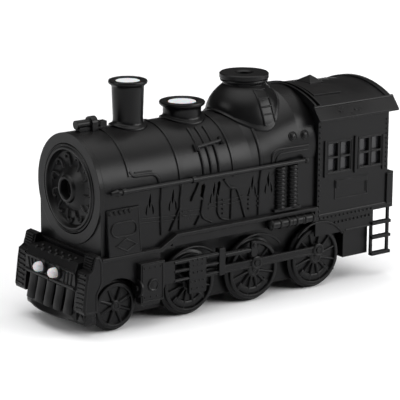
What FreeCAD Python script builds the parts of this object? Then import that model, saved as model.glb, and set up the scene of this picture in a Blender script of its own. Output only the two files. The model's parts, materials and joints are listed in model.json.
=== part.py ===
import FreeCAD, Part
import math
import os
import re
import Sketcher

# Locomotive-shaped aroma mist lamp. +X is the front of the engine, +Y its left side, +Z up, millimetres.
# The wheels stand on Z = 0 and every size sits in the Sizes sheet, where it can be changed.

os.makedirs("parts", exist_ok=True)
doc = FreeCAD.newDocument("Locomotive")
sheet = doc.addObject("Spreadsheet::Sheet", "Sizes")
V = FreeCAD.Vector
known = set()
nodes = []


def sizes(**values):
    """Add named sizes to the sheet, one row each."""
    for name, value in values.items():
        row = len(known) + 1
        sheet.set("A%d" % row, name)
        sheet.set("B%d" % row, str(value))
        sheet.setAlias("B%d" % row, name)
        known.add(name)
    doc.recompute([sheet])


def ex(text):
    """Turn size names in an expression into references to the sheet."""
    return re.sub(r"[A-Za-z]+", lambda m: "Sizes." + m.group(0) if m.group(0) in known else m.group(0),
        str(text))


def value(text):
    """The present value of an expression of sizes."""
    sheet.set("D1", "=" + re.sub(r"Sizes\.", "", ex(text)))
    doc.recompute([sheet])
    return float(sheet.get("D1"))


def place(obj, x, y, z):
    obj.setExpression("Placement.Base.x", ex(x))
    obj.setExpression("Placement.Base.y", ex(y))
    obj.setExpression("Placement.Base.z", ex(z))
    return obj


def box(name, x, y, z):
    """A block between two limits on each axis; each limit is an expression."""
    obj = doc.addObject("Part::Box", name)
    for prop, (low, high) in (("Length", x), ("Width", y), ("Height", z)):
        obj.setExpression(prop, ex("(%s) - (%s)" % (high, low)))
    return place(obj, x[0], y[0], z[0])


turns = {"x": FreeCAD.Rotation(V(0, 1, 0), 90), "y": FreeCAD.Rotation(V(1, 0, 0), -90),
    "z": FreeCAD.Rotation()}


def rod(name, axis, x, y, z, radius, length):
    """A round bar that starts at a point and runs along +axis."""
    obj = doc.addObject("Part::Cylinder", name)
    obj.Placement.Rotation = turns[axis]
    obj.setExpression("Radius", ex(radius))
    obj.setExpression("Height", ex(length))
    return place(obj, x, y, z)


def taper(name, axis, x, y, z, start, end, length):
    obj = doc.addObject("Part::Cone", name)
    obj.Placement.Rotation = turns[axis]
    obj.setExpression("Radius1", ex(start))
    obj.setExpression("Radius2", ex(end))
    obj.setExpression("Height", ex(length))
    return place(obj, x, y, z)


def ball(name, x, y, z, radius):
    obj = doc.addObject("Part::Sphere", name)
    obj.setExpression("Radius", ex(radius))
    return place(obj, x, y, z)


def outline(name, points, plane):
    """A closed straight-sided sketch; every corner is held by two bound dimensions."""
    sketch = doc.addObject("Sketcher::SketchObject", name)
    if plane == "xz":
        sketch.Placement.Rotation = FreeCAD.Rotation(V(1, 0, 0), 90)
    if plane == "yz":
        sketch.Placement.Rotation = FreeCAD.Rotation(V(1, 1, 1), 120)
    spots = [(value(a), value(b)) for a, b in points]
    count = len(spots)
    for i in range(count):
        a, b = spots[i], spots[(i + 1) % count]
        sketch.addGeometry(Part.LineSegment(V(a[0], a[1], 0), V(b[0], b[1], 0)), False)
    for i in range(count):
        sketch.addConstraint(Sketcher.Constraint("Coincident", i, 2, (i + 1) % count, 1))
        for kind, spot, text in (("DistanceX", spots[i][0], points[i][0]),
                ("DistanceY", spots[i][1], points[i][1])):
            index = sketch.addConstraint(Sketcher.Constraint(kind, i, 1, spot))
            sketch.setExpression("Constraints[%d]" % index, ex(text))
    return sketch


ways = {"xz": V(0, 1, 0), "yz": V(1, 0, 0), "xy": V(0, 0, 1)}
start_axis = {"xz": "y", "yz": "x", "xy": "z"}


def prism(name, points, plane, low, high):
    """An outline in a plane, pushed from one limit to the other along the plane's normal."""
    sketch = outline(name + "_outline", points, plane)
    sketch.setExpression("Placement.Base." + start_axis[plane], ex(low))
    obj = doc.addObject("Part::Extrusion", name)
    obj.Base = sketch
    obj.DirMode = "Custom"
    obj.Dir = ways[plane]
    obj.Solid = True
    obj.setExpression("LengthFwd", ex("(%s) - (%s)" % (high, low)))
    return obj


def spin(name, points, x, y):
    """A profile of (radius, height) corners turned about an upright axis at x, y."""
    sketch = outline(name + "_profile", points, "xz")
    obj = doc.addObject("Part::Revolution", name)
    obj.Source = sketch
    obj.Axis = V(0, 0, 1)
    obj.Angle = 360
    obj.Solid = True
    return place(obj, x, y, 0)


def fuse(name, parts):
    obj = doc.addObject("Part::MultiFuse", name)
    obj.Shapes = parts
    return obj


def cut(name, base, tools):
    obj = doc.addObject("Part::Cut", name)
    obj.Base = base
    obj.Tool = tools[0] if len(tools) == 1 else fuse(name + "_tools", tools)
    return obj


def common(name, a, b):
    obj = doc.addObject("Part::Common", name)
    obj.Base = a
    obj.Tool = b
    return obj


def group(name, parts):
    obj = doc.addObject("Part::Compound", name)
    obj.Links = parts
    return obj


def node(obj, label):
    obj.Label = label
    nodes.append(obj)
    return obj


def sided(side, low, high):
    """Limits across the engine: as given on the left, mirrored on the right."""
    return (low, high) if side > 0 else ("-(%s)" % high, "-(%s)" % low)


sides = (("left", 1), ("right", -1))

# ---- sizes shared by several pieces ----
sizes(
    boilerRadius=33.6, boilerHalf=32.6, boilerWall=2.2, boilerAxis=83.4, fireboxAxis=94.0,
    boilerFront=101.4, boilerRear=-58.4, fireboxStart=-8.0, fireboxFull=-45.0,
    boardHigh=54.8, boardLow=47.8, stepFront=62.0, stepRear=50.0, boardThick=2.4, boardHalf=36.2,
    frameFront=105.6, cabFront=-58.8, cabRear=-117.0, cabHalf=35.1, cabWall=2.0, gap=0.3,
    frameHalf=24.0, frameWall=2.0, frameBottom=9.0, driverRadius=20.6, pilotRadius=16.0,
    driverFrontX=37.4, driverMiddleX=-12.2, driverRearX=-61.8, pilotX=91.8,
    axleRadius=1.98, boreRadius=2.05, wheelInside=26.0, wheelOutside=30.9,
    chimneyX=61.4, collarX=21.1, domeX=-26.7,
)


def arch_solid(name, shrink, front, rear, bottom):
    """The boiler's outer form, offset inwards: round top, upright flanks, top that rises towards the cab."""
    radius = "boilerRadius - (%s)" % shrink
    half = "boilerHalf - (%s)" % shrink
    barrel = rod(name + "_barrel", "x", "fireboxStart", "0", "boilerAxis", radius,
        "%s - fireboxStart" % front)
    back = rod(name + "_back", "x", rear, "0", "fireboxAxis", radius, "fireboxFull - (%s)" % rear)
    rings = []
    for word, x, z in (("low", "fireboxStart", "boilerAxis"), ("high", "fireboxFull", "fireboxAxis")):
        ring = doc.addObject("Part::Circle", name + "_ring_" + word)
        ring.Placement.Rotation = turns["x"]
        ring.setExpression("Radius", ex(radius))
        rings.append(place(ring, x, "0", z))
    slope = doc.addObject("Part::Loft", name + "_slope")
    slope.Sections = rings
    slope.Solid = True
    slope.Ruled = True
    flank = prism(
        name + "_flank",
        [(front, bottom[0]), ("stepFront", bottom[0]), ("stepRear", bottom[1]), (rear, bottom[1]),
         (rear, "fireboxAxis"), ("fireboxFull", "fireboxAxis"), ("fireboxStart", "boilerAxis"),
         (front, "boilerAxis")],
        "xz", "-(%s)" % half, half)
    whole = fuse(name + "_whole", [barrel, slope, back, flank])
    room = box(name + "_room", (rear, front), ("-boilerRadius", "boilerRadius"),
        (bottom[0], "fireboxAxis + 2 * boilerRadius"))
    under = prism(
        name + "_under",
        [(front, bottom[0]), ("stepFront", bottom[0]), ("stepRear", bottom[1]), (rear, bottom[1]),
         (rear, "0"), (front, "0")], "xz", "-boilerRadius", "boilerRadius")
    return cut(name, common(name + "_kept", whole, room), [under])


# ---- boiler shell ----
sizes(
    chimneyHole=8.3, collarHole=9.5, domeHole=17.0, bandProud=0.7, bandWidth=2.4,
    slotTop=82.6, slotHeight=14.3, slotWide=6.8, pastBoiler=40.0, bandOneLow=94.0,
)
tongue = [(0.0, 1.0), (0.12, 0.78), (0.15, 0.6), (0.08, 0.42), (0.01, 0.3), (-0.06, 0.42), (-0.1, 0.6),
    (-0.05, 0.78)]
crescent = [(0.19, 0.52), (0.4, 0.32), (0.46, 0.12), (0.34, 0.0), (0.3, 0.14), (0.26, 0.32)]


def flame(name, x):
    """Three narrow holes right across both flanks: a tall middle tongue and a crescent each side of its foot."""
    holes = []
    for word, way, across in (("tongue", 1, tongue), ("fore", 1, crescent), ("aft", -1, crescent)):
        points = [("%s + %s * slotWide" % (x, way * a),
            "slotTop - slotHeight + %s * slotHeight" % b) for a, b in across]
        holes.append(prism(name + "_" + word, points, "xz", "-pastBoiler", "pastBoiler"))
    return holes


sizes(slotOneX=68.4, slotTwoX=51.6, slotThreeX=20.8, slotFourX=-8.6, slotFiveX=-21.4)
outer = arch_solid("boiler_outer", "0", "boilerFront", "boilerRear", ("boardLow", "boardHigh"))
inner = arch_solid("boiler_inner", "boilerWall", "boilerFront + 1", "boilerRear - 1",
    ("boardLow - 2", "boardHigh - 2"))
bands = []
sizes(bandOneX=82.3, bandTwoX=46.2, bandThreeX=6.1)
for word, low in (("One", "bandOneLow"), ("Two", "boilerAxis"), ("Three", "boilerAxis")):
    x = "band%sX - bandWidth / 2" % word
    hoop = rod("hoop_" + word, "x", x, "0", "boilerAxis", "boilerRadius + bandProud", "bandWidth")
    upper = box("hoop_room_" + word, (x, "band%sX + bandWidth / 2" % word), ("-pastBoiler", "pastBoiler"),
                (low, "boilerAxis + pastBoiler"))
    bands.append(common("band_" + word, hoop, upper))
skin = fuse("boiler_skin", [outer] + bands)
holes = [
    rod("chimney_hole", "z", "chimneyX", "0", "boilerAxis", "chimneyHole", "pastBoiler"),
    rod("collar_hole", "z", "collarX", "0", "boilerAxis", "collarHole", "pastBoiler"),
    rod("dome_hole", "z", "domeX", "0", "boilerAxis", "domeHole", "pastBoiler + pastBoiler"),
]
for word in ("One", "Two", "Three", "Four", "Five"):
    holes += flame("slot_" + word, "slot%sX" % word)
sizes(flankFore=31.0, flankForeEnd=27.9, flankAft=18.6, flankAftEnd=16.2, flankTop=82.4, flankFoot=72.6)
for word, front, rear in (("fore", "flankFore", "flankForeEnd"), ("aft", "flankAft", "flankAftEnd")):
    holes.append(prism("flank_vent_" + word, [
        (front, "flankFoot + 2"), (rear + " + 0.8", "flankFoot"), (rear, "flankTop - 1.5"),
        (rear + " + 1", "flankTop"),
        (front, "flankTop - 1")], "xz", "-pastBoiler", "pastBoiler"))
node(cut("boiler_shell_body", cut("boiler_hollow", skin, [inner]), holes), "boiler_shell")

# ---- smokebox front plate and door ----
sizes(
    plateFront=104.4, legsBack=0.9, plateSpigot=3.0, doorSeat=27.4, doorRadius=27.1, doorRim=26.1,
    doorRimInner=25.0,
    doorRecess=23.2, doorBack=100.6, doorFace=104.9, doorFloor=101.8, hubRadius=7.6, hubHole=5.7,
    hubFace=106.0,
    bladeCount=11, bladeThick=1.7, bladeStart=8.4, bladeEnd=21.6, bladeHeight=1.9,
)


def plate_form(name, shrink, rear, front, foot, legs_back):
    ring = rod(name + "_ring", "x", rear, "0", "boilerAxis", "boilerRadius - (%s)" % shrink,
        "(%s) - (%s)" % (front, rear))
    legs = box(name + "_legs", (rear, "%s - %s" % (front, legs_back)),
        ("-(boilerHalf - (%s))" % shrink, "boilerHalf - (%s)" % shrink),
               (foot, "boilerAxis"))
    low = box(name + "_low", (rear, front), ("-pastBoiler", "pastBoiler"),
        ("boilerAxis - 2 * pastBoiler", foot))
    return cut(name, fuse(name + "_sum", [ring, legs]), [low])


plate = plate_form("plate_disc", "0", "boilerFront", "plateFront", "boardLow", "legsBack")
spigot = plate_form("plate_spigot", "boilerWall + gap", "boilerFront - plateSpigot", "boilerFront",
    "boardLow + gap",
                    "0")
seat = rod("door_seat", "x", "boilerFront - 2 * plateSpigot", "0", "boilerAxis", "doorSeat",
    "4 * plateSpigot")
node(cut("smokebox_front_body", fuse("smokebox_front_sum", [plate, spigot]), [seat]), "smokebox_front")

disc = rod("door_disc", "x", "doorBack", "0", "boilerAxis", "doorRadius", "doorFace - doorBack")
dish = rod("door_dish", "x", "doorFloor", "0", "boilerAxis", "doorRecess", "doorFace")
groove = cut("door_groove", rod("groove_out", "x", "doorFace - 1", "0", "boilerAxis", "doorRim", "2"),
             [rod("groove_in", "x", "doorFace - 2", "0", "boilerAxis", "doorRimInner", "4")])
blades = []
blade_count = int(value("bladeCount"))
for i in range(blade_count):
    angle = 360.0 * i / blade_count
    blade = doc.addObject("Part::Box", "blade_%d" % i)
    blade.setExpression("Length", ex("bladeHeight"))
    blade.setExpression("Width", ex("bladeThick"))
    blade.setExpression("Height", ex("bladeEnd - bladeStart"))
    blade.Placement.Rotation = FreeCAD.Rotation(V(1, 0, 0), angle)
    turn = "cos(%.4f) * bladeStart" % angle
    side = "-sin(%.4f) * bladeStart" % angle
    blades.append(place(blade, "doorFloor", side, "boilerAxis + " + turn))
hub = rod("door_hub", "x", "doorBack", "0", "boilerAxis", "hubRadius", "hubFace - doorBack")
door = fuse("door_sum", [cut("door_bowl", disc, [dish, groove]), hub] + blades)
bore = rod("hub_bore", "x", "doorFloor", "0", "boilerAxis", "hubHole", "pastBoiler")
node(cut("smokebox_door_body", door, [bore]), "smokebox_door")

# ---- chimney, collar and their push buttons ----
sizes(
    chimneyTop=144.5, chimneyRim=11.9, rimThick=2.4, chimneyNeck=9.9, chimneyFoot=9.2, chimneyFlare=10.8,
    flareTop=119.6, chimneyBore=7.7, chimneyButton=7.3, floorTop=131.0, floorThick=2.4, stemBore=3.0,
    stemRadius=2.5,
    stemLength=14.0, buttonThick=2.2, buttonSink=0.7, collarTop=126.9, collarRim=14.1, collarTube=11.8,
    collarFlare=12.9, collarFlareTop=119.2, collarBore=9.0, collarButton=8.6, collarFloor=116.0,
    collarStem=12.0,
    pipeLow=105.0, coilWire=0.35, coilPitch=1.7, collarPitch=1.46667, coilRadius=4.4,
    collarCoil=4.8, coilRoom=0.5,
)


def pipe(name, x, top, rim, neck, foot, flare, flareTop, bore, floor):
    """An upright pipe with a rim and a flared foot that sits on the boiler; inside is a floor for the spring."""
    outside = spin(name + "_out", [
        ("0", "pipeLow"), (flare, "pipeLow"), (flare, "%s - 1.2" % flareTop), (foot, flareTop),
        (neck, "%s - rimThick" % top),
        (rim, "%s - rimThick" % top), (rim, "%s - 0.5" % top), ("%s - 0.5" % rim, top), ("0", top)], x, "0")
    above = rod(name + "_above", "z", x, "0", floor, bore, "pastBoiler")
    below = rod(name + "_below", "z", x, "0", "0", bore, "%s - floorThick" % floor)
    stem = rod(name + "_stem_hole", "z", x, "0", "0", "stemBore", "5 * pastBoiler")
    return cut(name + "_body", outside, [above, below, stem, outer])


node(pipe("chimney", "chimneyX", "chimneyTop", "chimneyRim", "chimneyNeck", "chimneyFoot", "chimneyFlare",
    "flareTop",
          "chimneyBore", "floorTop"), "chimney")
node(pipe("button_collar", "collarX", "collarTop", "collarRim", "collarTube", "collarTube", "collarFlare",
          "collarFlareTop", "collarBore", "collarFloor + floorThick"), "button_collar")


def button(name, x, top, radius, stem):
    cap = rod(name + "_cap", "z", x, "0", "%s - buttonSink - buttonThick" % top, radius, "buttonThick")
    leg = rod(name + "_leg", "z", x, "0", "%s - buttonSink - buttonThick - %s" % (top, stem),
        "stemRadius", stem)
    return fuse(name + "_body", [cap, leg])


def coil(name, x, radius, pitch, low, high):
    """A round-wire compression spring."""
    path = doc.addObject("Part::Helix", name + "_path")
    path.setExpression("Pitch", ex(pitch))
    path.setExpression("Height", ex("(%s) - (%s) - 2 * coilWire - coilRoom" % (high, low)))
    path.setExpression("Radius", ex(radius))
    place(path, x, "0", "%s + coilWire + coilRoom / 2" % low)
    wire = doc.addObject("Part::Circle", name + "_wire")
    wire.setExpression("Radius", ex("coilWire"))
    wire.Placement.Rotation = FreeCAD.Rotation(V(1, 0, 0), 90)
    place(wire, "%s + %s" % (x, radius), "0", "%s + coilWire + coilRoom / 2" % low)
    sweep = doc.addObject("Part::Sweep", name + "_coil")
    sweep.Sections = [wire]
    sweep.Spine = path
    sweep.Solid = True
    sweep.Frenet = True
    return sweep


node(button("mist_button", "chimneyX", "chimneyTop", "chimneyButton", "stemLength"), "mist_button")
node(button("light_button", "collarX", "collarTop", "collarButton", "collarStem"), "light_button")
node(coil("mist_spring", "chimneyX", "coilRadius", "coilPitch", "floorTop",
    "chimneyTop - buttonSink - buttonThick"),
     "mist_button_spring")
node(coil("light_spring", "collarX", "collarCoil", "collarPitch", "collarFloor + floorThick",
          "collarTop - buttonSink - buttonThick"), "light_button_spring")

# ---- lift-off dome, nozzle disc and seal ----
sizes(
    domeTop=139.0, discRadius=15.5, discThick=3.6, nozzleHole=5.3, neckRadius=13.3, neckLow=131.4,
    shoulderHigh=127.6,
    shoulderHighR=17.0, shoulderMid=122.6, shoulderMidR=20.8, shoulderLow=118.0, shoulderLowR=22.8,
    skirtRadius=25.4,
    skirtTop=114.2, domeWall=2.0, seatGap=0.3, sealOuter=16.6, sealInner=15.05, sealHigh=108.6,
    sealLow=107.0,
)
dome_outside = spin("dome_outside", [
    ("0", "pipeLow - 0.4"), ("skirtRadius", "pipeLow - 0.4"), ("skirtRadius", "skirtTop"),
    ("shoulderLowR", "skirtTop + 1"),
    ("shoulderLowR", "shoulderLow"), ("shoulderMidR", "shoulderMid"), ("shoulderHighR", "shoulderHigh"),
    ("neckRadius", "neckLow"), ("neckRadius", "domeTop - discThick"), ("0", "domeTop - discThick")],
    "domeX", "0")
dome_inside = spin("dome_inside", [
    ("0", "pipeLow - 10"), ("skirtRadius - domeWall", "pipeLow - 10"),
    ("skirtRadius - domeWall", "skirtTop - domeWall"),
    ("shoulderLowR - domeWall", "skirtTop - domeWall"), ("shoulderLowR - domeWall", "shoulderLow"),
    ("shoulderMidR - domeWall", "shoulderMid"), ("shoulderHighR - domeWall", "shoulderHigh"),
    ("neckRadius - domeWall", "neckLow"), ("neckRadius - domeWall", "domeTop"), ("0", "domeTop")],
    "domeX", "0")


def grown(name, extra):
    """The boiler's outer form, grown by a clearance; it cuts the saddle of whatever sits on top."""
    return arch_solid(name, "(0 - %s)" % extra, "boilerFront", "boilerRear", ("boardLow", "boardHigh"))


saddle = grown("dome_saddle", "seatGap")
node(cut("mist_dome_body", dome_outside, [dome_inside, saddle]), "mist_dome")
cap = spin("nozzle_cap", [
    ("nozzleHole", "domeTop - discThick"), ("discRadius - 0.6", "domeTop - discThick"),
    ("discRadius", "domeTop - discThick + 0.6"), ("discRadius", "domeTop - 0.6"),
    ("discRadius - 0.6", "domeTop"),
    ("nozzleHole + 1", "domeTop"), ("nozzleHole", "domeTop - 1")], "domeX", "0")
node(cap, "nozzle_disc")

# ---- whistle on the smokebox ----
sizes(
    whistleFront=99.2, whistleRear=86.4, whistleAxis=121.2, whistleRadius=2.7, saddleTop=119.4,
    saddleFront=97.6,
    saddleRear=84.4, saddleHalf=2.4, strapX=85.6, strapWide=4.0, strapRadius=4.2, postFront=82.8,
    postRear=78.2,
    postHalf=2.3, postTop=121.8, onBoiler=112.0, footTop=118.6,
)
whistle = fuse("whistle_sum", [
    rod("whistle_barrel", "x", "whistleRear", "0", "whistleAxis", "whistleRadius",
    "whistleFront - whistleRear"),
    box("whistle_saddle", ("saddleRear", "saddleFront"), ("-saddleHalf", "saddleHalf"),
    ("onBoiler", "saddleTop")),
    rod("whistle_strap", "x", "strapX", "0", "whistleAxis", "strapRadius", "strapWide"),
    box("whistle_strap_foot", ("strapX", "strapX + strapWide"), ("-strapRadius", "strapRadius"),
    ("onBoiler", "whistleAxis")),
    box("whistle_foot", ("postRear", "saddleRear + 1"), ("-saddleHalf", "saddleHalf"),
    ("onBoiler", "footTop")),
    box("whistle_post", ("postRear", "postFront"), ("-postHalf", "postHalf"), ("onBoiler", "postTop")),
])
band_room = rod("band_room", "x", "bandOneX - bandWidth / 2 - 0.1", "0", "boilerAxis",
    "boilerRadius + bandProud + 0.05",
                "bandWidth + 0.2")
node(cut("top_whistle_body", whistle, [outer, band_room]), "top_whistle")

# ---- handrails ----
sizes(
    railZ=86.5, railY=35.9, railRadius=1.4, railFront=93.6, railRear=-48.4, railTip=98.2, stanchion=1.5,
    stanchionFront=89.2, stanchionMiddle=38.4, knob=2.0,
)
for word, side in sides:
    y = "%d * railY" % side
    foot = sided(side, "boilerHalf - 1", "railY")
    parts = [
        rod("rail_" + word, "x", "railRear", y, "railZ", "railRadius", "railFront - railRear"),
        taper("rail_tip_" + word, "x", "railFront", y, "railZ", "railRadius + 0.7", "0.9",
        "railTip - railFront"),
        ball("rail_knob_" + word, "railRear", y, "railZ", "knob"),
    ]
    for spot in ("stanchionFront", "stanchionMiddle", "railRear"):
        parts.append(rod("post_%s_%s" % (spot, word), "y", spot, foot[0], "railZ", "stanchion",
            "railY - boilerHalf + 1"))
    for spot in ("stanchionFront", "stanchionMiddle"):
        parts.append(rod("eye_%s_%s" % (spot, word), "x", "%s - 1.4" % spot, y, "railZ", "knob", "2.8"))
    node(cut("handrail_%s_body" % word, fuse("handrail_%s_sum" % word, parts), [skin]), "handrail_" + word)

# ---- side panels that lean out over the front running board ----
sizes(panelFront=99.8, panelRear=76.6, panelTop=75.8, panelTopY=33.4, panelFootY=36.0)
for word, side in sides:
    lean = [("%d * (boilerHalf + 0.02)" % side, "boardLow"), ("%d * panelFootY" % side, "boardLow"),
            ("%d * panelTopY" % side, "panelTop"), ("%d * (boilerHalf + 0.02)" % side, "panelTop")]
    wedge = prism("panel_wedge_" + word, lean, "yz", "panelRear", "panelFront")
    node(cut("side_panel_%s_body" % word, wedge, [skin]), "side_panel_" + word)

# ---- chassis: running board, valances, frame box, cab floor ----
sizes(
    valanceOut=33.4, valanceIn=31.8, valanceLow=46.6, openHalf=28.6, boxTop=45.4, boxRear=-83.0,
    boxFront=105.6,
    archRadius=17.4, sideLow=22.0, sideIn=28.8, sideOut=33.0, floorHigh=47.8, floorRear=-122.0,
    floorLow=45.4,
    skirtLow=34.6, skirtRear=-105.5, skirtFront=-59.2, rearSillTop=69.0,
)
board = prism("board_strip", [
    ("frameFront", "boardLow"), ("stepFront", "boardLow"), ("stepRear", "boardHigh"),
    ("cabFront + 0.2", "boardHigh"),
    ("cabFront + 0.2", "boardHigh - boardThick"), ("stepRear - 1", "boardHigh - boardThick"),
    ("stepFront - 1", "boardLow - boardThick"), ("frameFront", "boardLow - boardThick")], "xz",
    "-boardHalf", "boardHalf")
board_hole = box("board_hole", ("cabFront + 3", "boilerFront - 4"), ("-openHalf", "openHalf"),
    ("0", "boardHigh + 5"))
floor = box("cab_floor", ("floorRear", "cabFront + 0.2"), ("-cabHalf", "cabHalf"),
    ("floorLow", "floorHigh"))
riser = box("board_riser", ("cabFront + 0.2", "cabFront + 2.4"), ("-boardHalf", "boardHalf"),
            ("floorLow", "boardHigh - boardThick / 2"))
chassis_parts = [cut("board_open", board, [board_hole]), floor, riser]
for word, side in sides:
    chassis_parts.append(box("valance_" + word, ("cabFront + 0.2", "stepRear + 2"),
        sided(side, "valanceIn", "valanceOut"),
                             ("valanceLow", "boardHigh - boardThick / 2")))
    front_side = box("front_side_" + word, ("stepFront - 1", "frameFront"),
        sided(side, "sideIn", "sideOut"),
                     ("sideLow", "boardLow - boardThick / 2"))
    wheel_arch = rod("wheel_arch_" + word, "y", "pilotX", "-pastBoiler", "pilotRadius", "archRadius",
        "2 * pastBoiler")
    chassis_parts.append(cut("front_side_cut_" + word, front_side, [wheel_arch]))
    chassis_parts.append(box("frame_side_" + word, ("boxRear", "boxFront"),
        sided(side, "frameHalf - frameWall", "frameHalf"),
                             ("frameBottom", "boxTop + 0.01")))
    chassis_parts.append(box("shelf_" + word, ("cabFront + 0.2", "stepRear"),
        sided(side, "frameHalf - frameWall", "openHalf + 4"),
                             ("boardHigh - boardThick", "boardHigh - boardThick + 1.6")))
    chassis_parts.append(box("frame_high_" + word, ("cabFront + 0.2", "stepRear"),
        sided(side, "frameHalf - frameWall", "frameHalf"),
                             ("boxTop", "boardHigh - boardThick + 1")))
    chassis_parts.append(box("shelf_low_" + word, ("stepRear", "boxFront"),
        sided(side, "frameHalf - frameWall", "openHalf + 4"),
                             ("boardLow - boardThick", "boardLow - boardThick + 1.6")))
    chassis_parts.append(box("skirt_" + word, ("skirtRear", "skirtFront"),
        sided(side, "valanceIn", "valanceOut"),
                             ("skirtLow", "floorLow + 1")))
for word, low, high in (("front", "boxFront - frameWall", "boxFront"),
        ("rear", "boxRear", "boxRear + frameWall")):
    chassis_parts.append(box("frame_end_" + word, (low, high), ("-frameHalf", "frameHalf"),
        ("frameBottom", "floorLow + 0.2")))
axle_holes = []
for word, z in (("driverFrontX", "driverRadius"), ("driverMiddleX", "driverRadius"),
    ("driverRearX", "driverRadius"),
                ("pilotX", "pilotRadius")):
    axle_holes.append(rod("axle_hole_" + word, "y", word, "-pastBoiler", z, "boreRadius", "2 * pastBoiler"))
whole_frame = fuse("chassis_sum", chassis_parts)
node(cut("chassis_frame_body", whole_frame, axle_holes), "chassis_frame")

# ---- wheelsets ----
sizes(
    flangeOut=28.4, treadShrink=2.0, rimWidth=2.6, webFace=29.6, hubBoss=4.6, hubFaceY=31.2, spokeWide=1.7,
    spokeDeep=0.9, pinOffset=5.0, pinRadius=1.8, pinEnd=34.2, wheelBore=2.0, axleHalf=29.4, pilotHub=3.4,
    weightDeep=0.8, driverSpokes=12, pilotSpokes=8, bossWide=1.5,
    weightChord=8.4, weightKnee=12.0, weightFoot=14.4, weightHalf=10.6, weightKneeHalf=8.0,
)


def wheel(name, side, x, radius, hub, spokes):
    """A flanged, spoked wheel with a solid web behind the spokes."""
    def across(low, high):
        return sided(side, low, high)

    def disc_at(word, low, high, r):
        low_y = across(low, high)[0]
        return rod(name + word, "y", x, low_y, radius, r, "(%s) - (%s)" % (high, low))

    flange = disc_at("_flange", "wheelInside", "flangeOut", radius)
    tread = disc_at("_tread", "flangeOut", "wheelOutside", "%s - treadShrink" % radius)
    well = disc_at("_well", "webFace", "wheelOutside + 1", "%s - treadShrink - rimWidth" % radius)
    parts = [cut(name + "_rim", fuse(name + "_blank", [flange, tread]), [well]),
        disc_at("_hub", "wheelInside", "hubFaceY", hub)]
    count = int(value(spokes))
    for i in range(count):
        angle = 360.0 * i / count
        spoke = doc.addObject("Part::Box", "%s_spoke_%d" % (name, i))
        spoke.setExpression("Length", ex("%s - treadShrink - rimWidth + 0.5" % radius))
        spoke.setExpression("Width", ex("spokeDeep"))
        spoke.setExpression("Height", ex("spokeWide"))
        spoke.Placement.Rotation = FreeCAD.Rotation(V(0, -1, 0), angle)
        low_y = across("webFace - 0.1", "webFace - 0.1 + spokeDeep")[0]
        parts.append(place(spoke, "%s + sin(%.3f) * spokeWide / 2" % (x, angle), low_y,
                           "%s - cos(%.3f) * spokeWide / 2" % (radius, angle)))
    return parts, disc_at("_bore", "wheelInside - 1", "axleHalf + 0.02", "wheelBore")


def wheel_pair(title, x, radius, hub, spokes, pinned):
    pair = []
    for word, side in sides:
        name = "%s_%s" % (title, word)
        parts, bore_hole = wheel(name, side, x, radius, hub, spokes)
        if pinned:
            low = sided(side, "wheelInside + 1", "pinEnd")[0]
            parts.append(rod(name + "_pin", "y", x, low, "%s + pinOffset" % radius, "pinRadius",
                "pinEnd - wheelInside - 1"))
            low = sided(side, "webFace - 0.1", "hubFaceY")[0]
            parts.append(rod(name + "_pin_boss", "y", x, low, "%s + pinOffset" % radius,
                "pinRadius + bossWide",
                             "hubFaceY - webFace + 0.1"))
            weight = prism(name + "_weight", [
                ("%s - weightHalf" % x, "%s - weightChord" % radius),
                ("%s + weightHalf" % x, "%s - weightChord" % radius),
                ("%s + weightKneeHalf" % x, "%s - weightKnee" % radius),
                ("%s" % x, "%s - weightFoot" % radius),
                ("%s - weightKneeHalf" % x, "%s - weightKnee" % radius)],
                "xz", *sided(side, "webFace - 0.1", "webFace + weightDeep"))
            parts.append(weight)
        pair.append(cut(name + "_done", fuse(name + "_sum", parts), [bore_hole]))
    return group(title + "_body", pair)


for word, x in (("front", "driverFrontX"), ("middle", "driverMiddleX"), ("rear", "driverRearX")):
    node(wheel_pair("driver_wheels_" + word, x, "driverRadius", "hubBoss", "driverSpokes", True),
        "driver_wheels_" + word)
    node(rod("driver_axle_%s_body" % word, "y", x, "-axleHalf", "driverRadius", "axleRadius",
        "2 * axleHalf"),
         "driver_axle_" + word)
node(wheel_pair("pilot_wheels", "pilotX", "pilotRadius", "pilotHub", "pilotSpokes", False), "pilot_wheels")
node(rod("pilot_axle_body", "y", "pilotX", "-axleHalf", "pilotRadius", "axleRadius", "2 * axleHalf"),
    "pilot_axle")

# ---- side rods ----
sizes(rodIn=31.6, rodOut=33.6, rodHalfHigh=2.7, rodEye=4.2, rodHole=1.86)
for word, side in sides:
    low = sided(side, "rodIn", "rodOut")[0]
    z = "driverRadius + pinOffset"
    parts = [box("rod_bar_" + word, ("driverRearX", "driverFrontX"), sided(side, "rodIn", "rodOut"),
                 ("%s - rodHalfHigh" % z, "%s + rodHalfHigh" % z))]
    tools = []
    for spot in ("driverFrontX", "driverMiddleX", "driverRearX"):
        parts.append(rod("rod_eye_%s_%s" % (spot, word), "y", spot, low, z, "rodEye", "rodOut - rodIn"))
        tools.append(rod("rod_hole_%s_%s" % (spot, word), "y", spot, "-pastBoiler", z, "rodHole",
            "2 * pastBoiler"))
    node(cut("side_rod_%s_body" % word, fuse("side_rod_%s_sum" % word, parts), tools), "side_rod_" + word)

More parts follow.
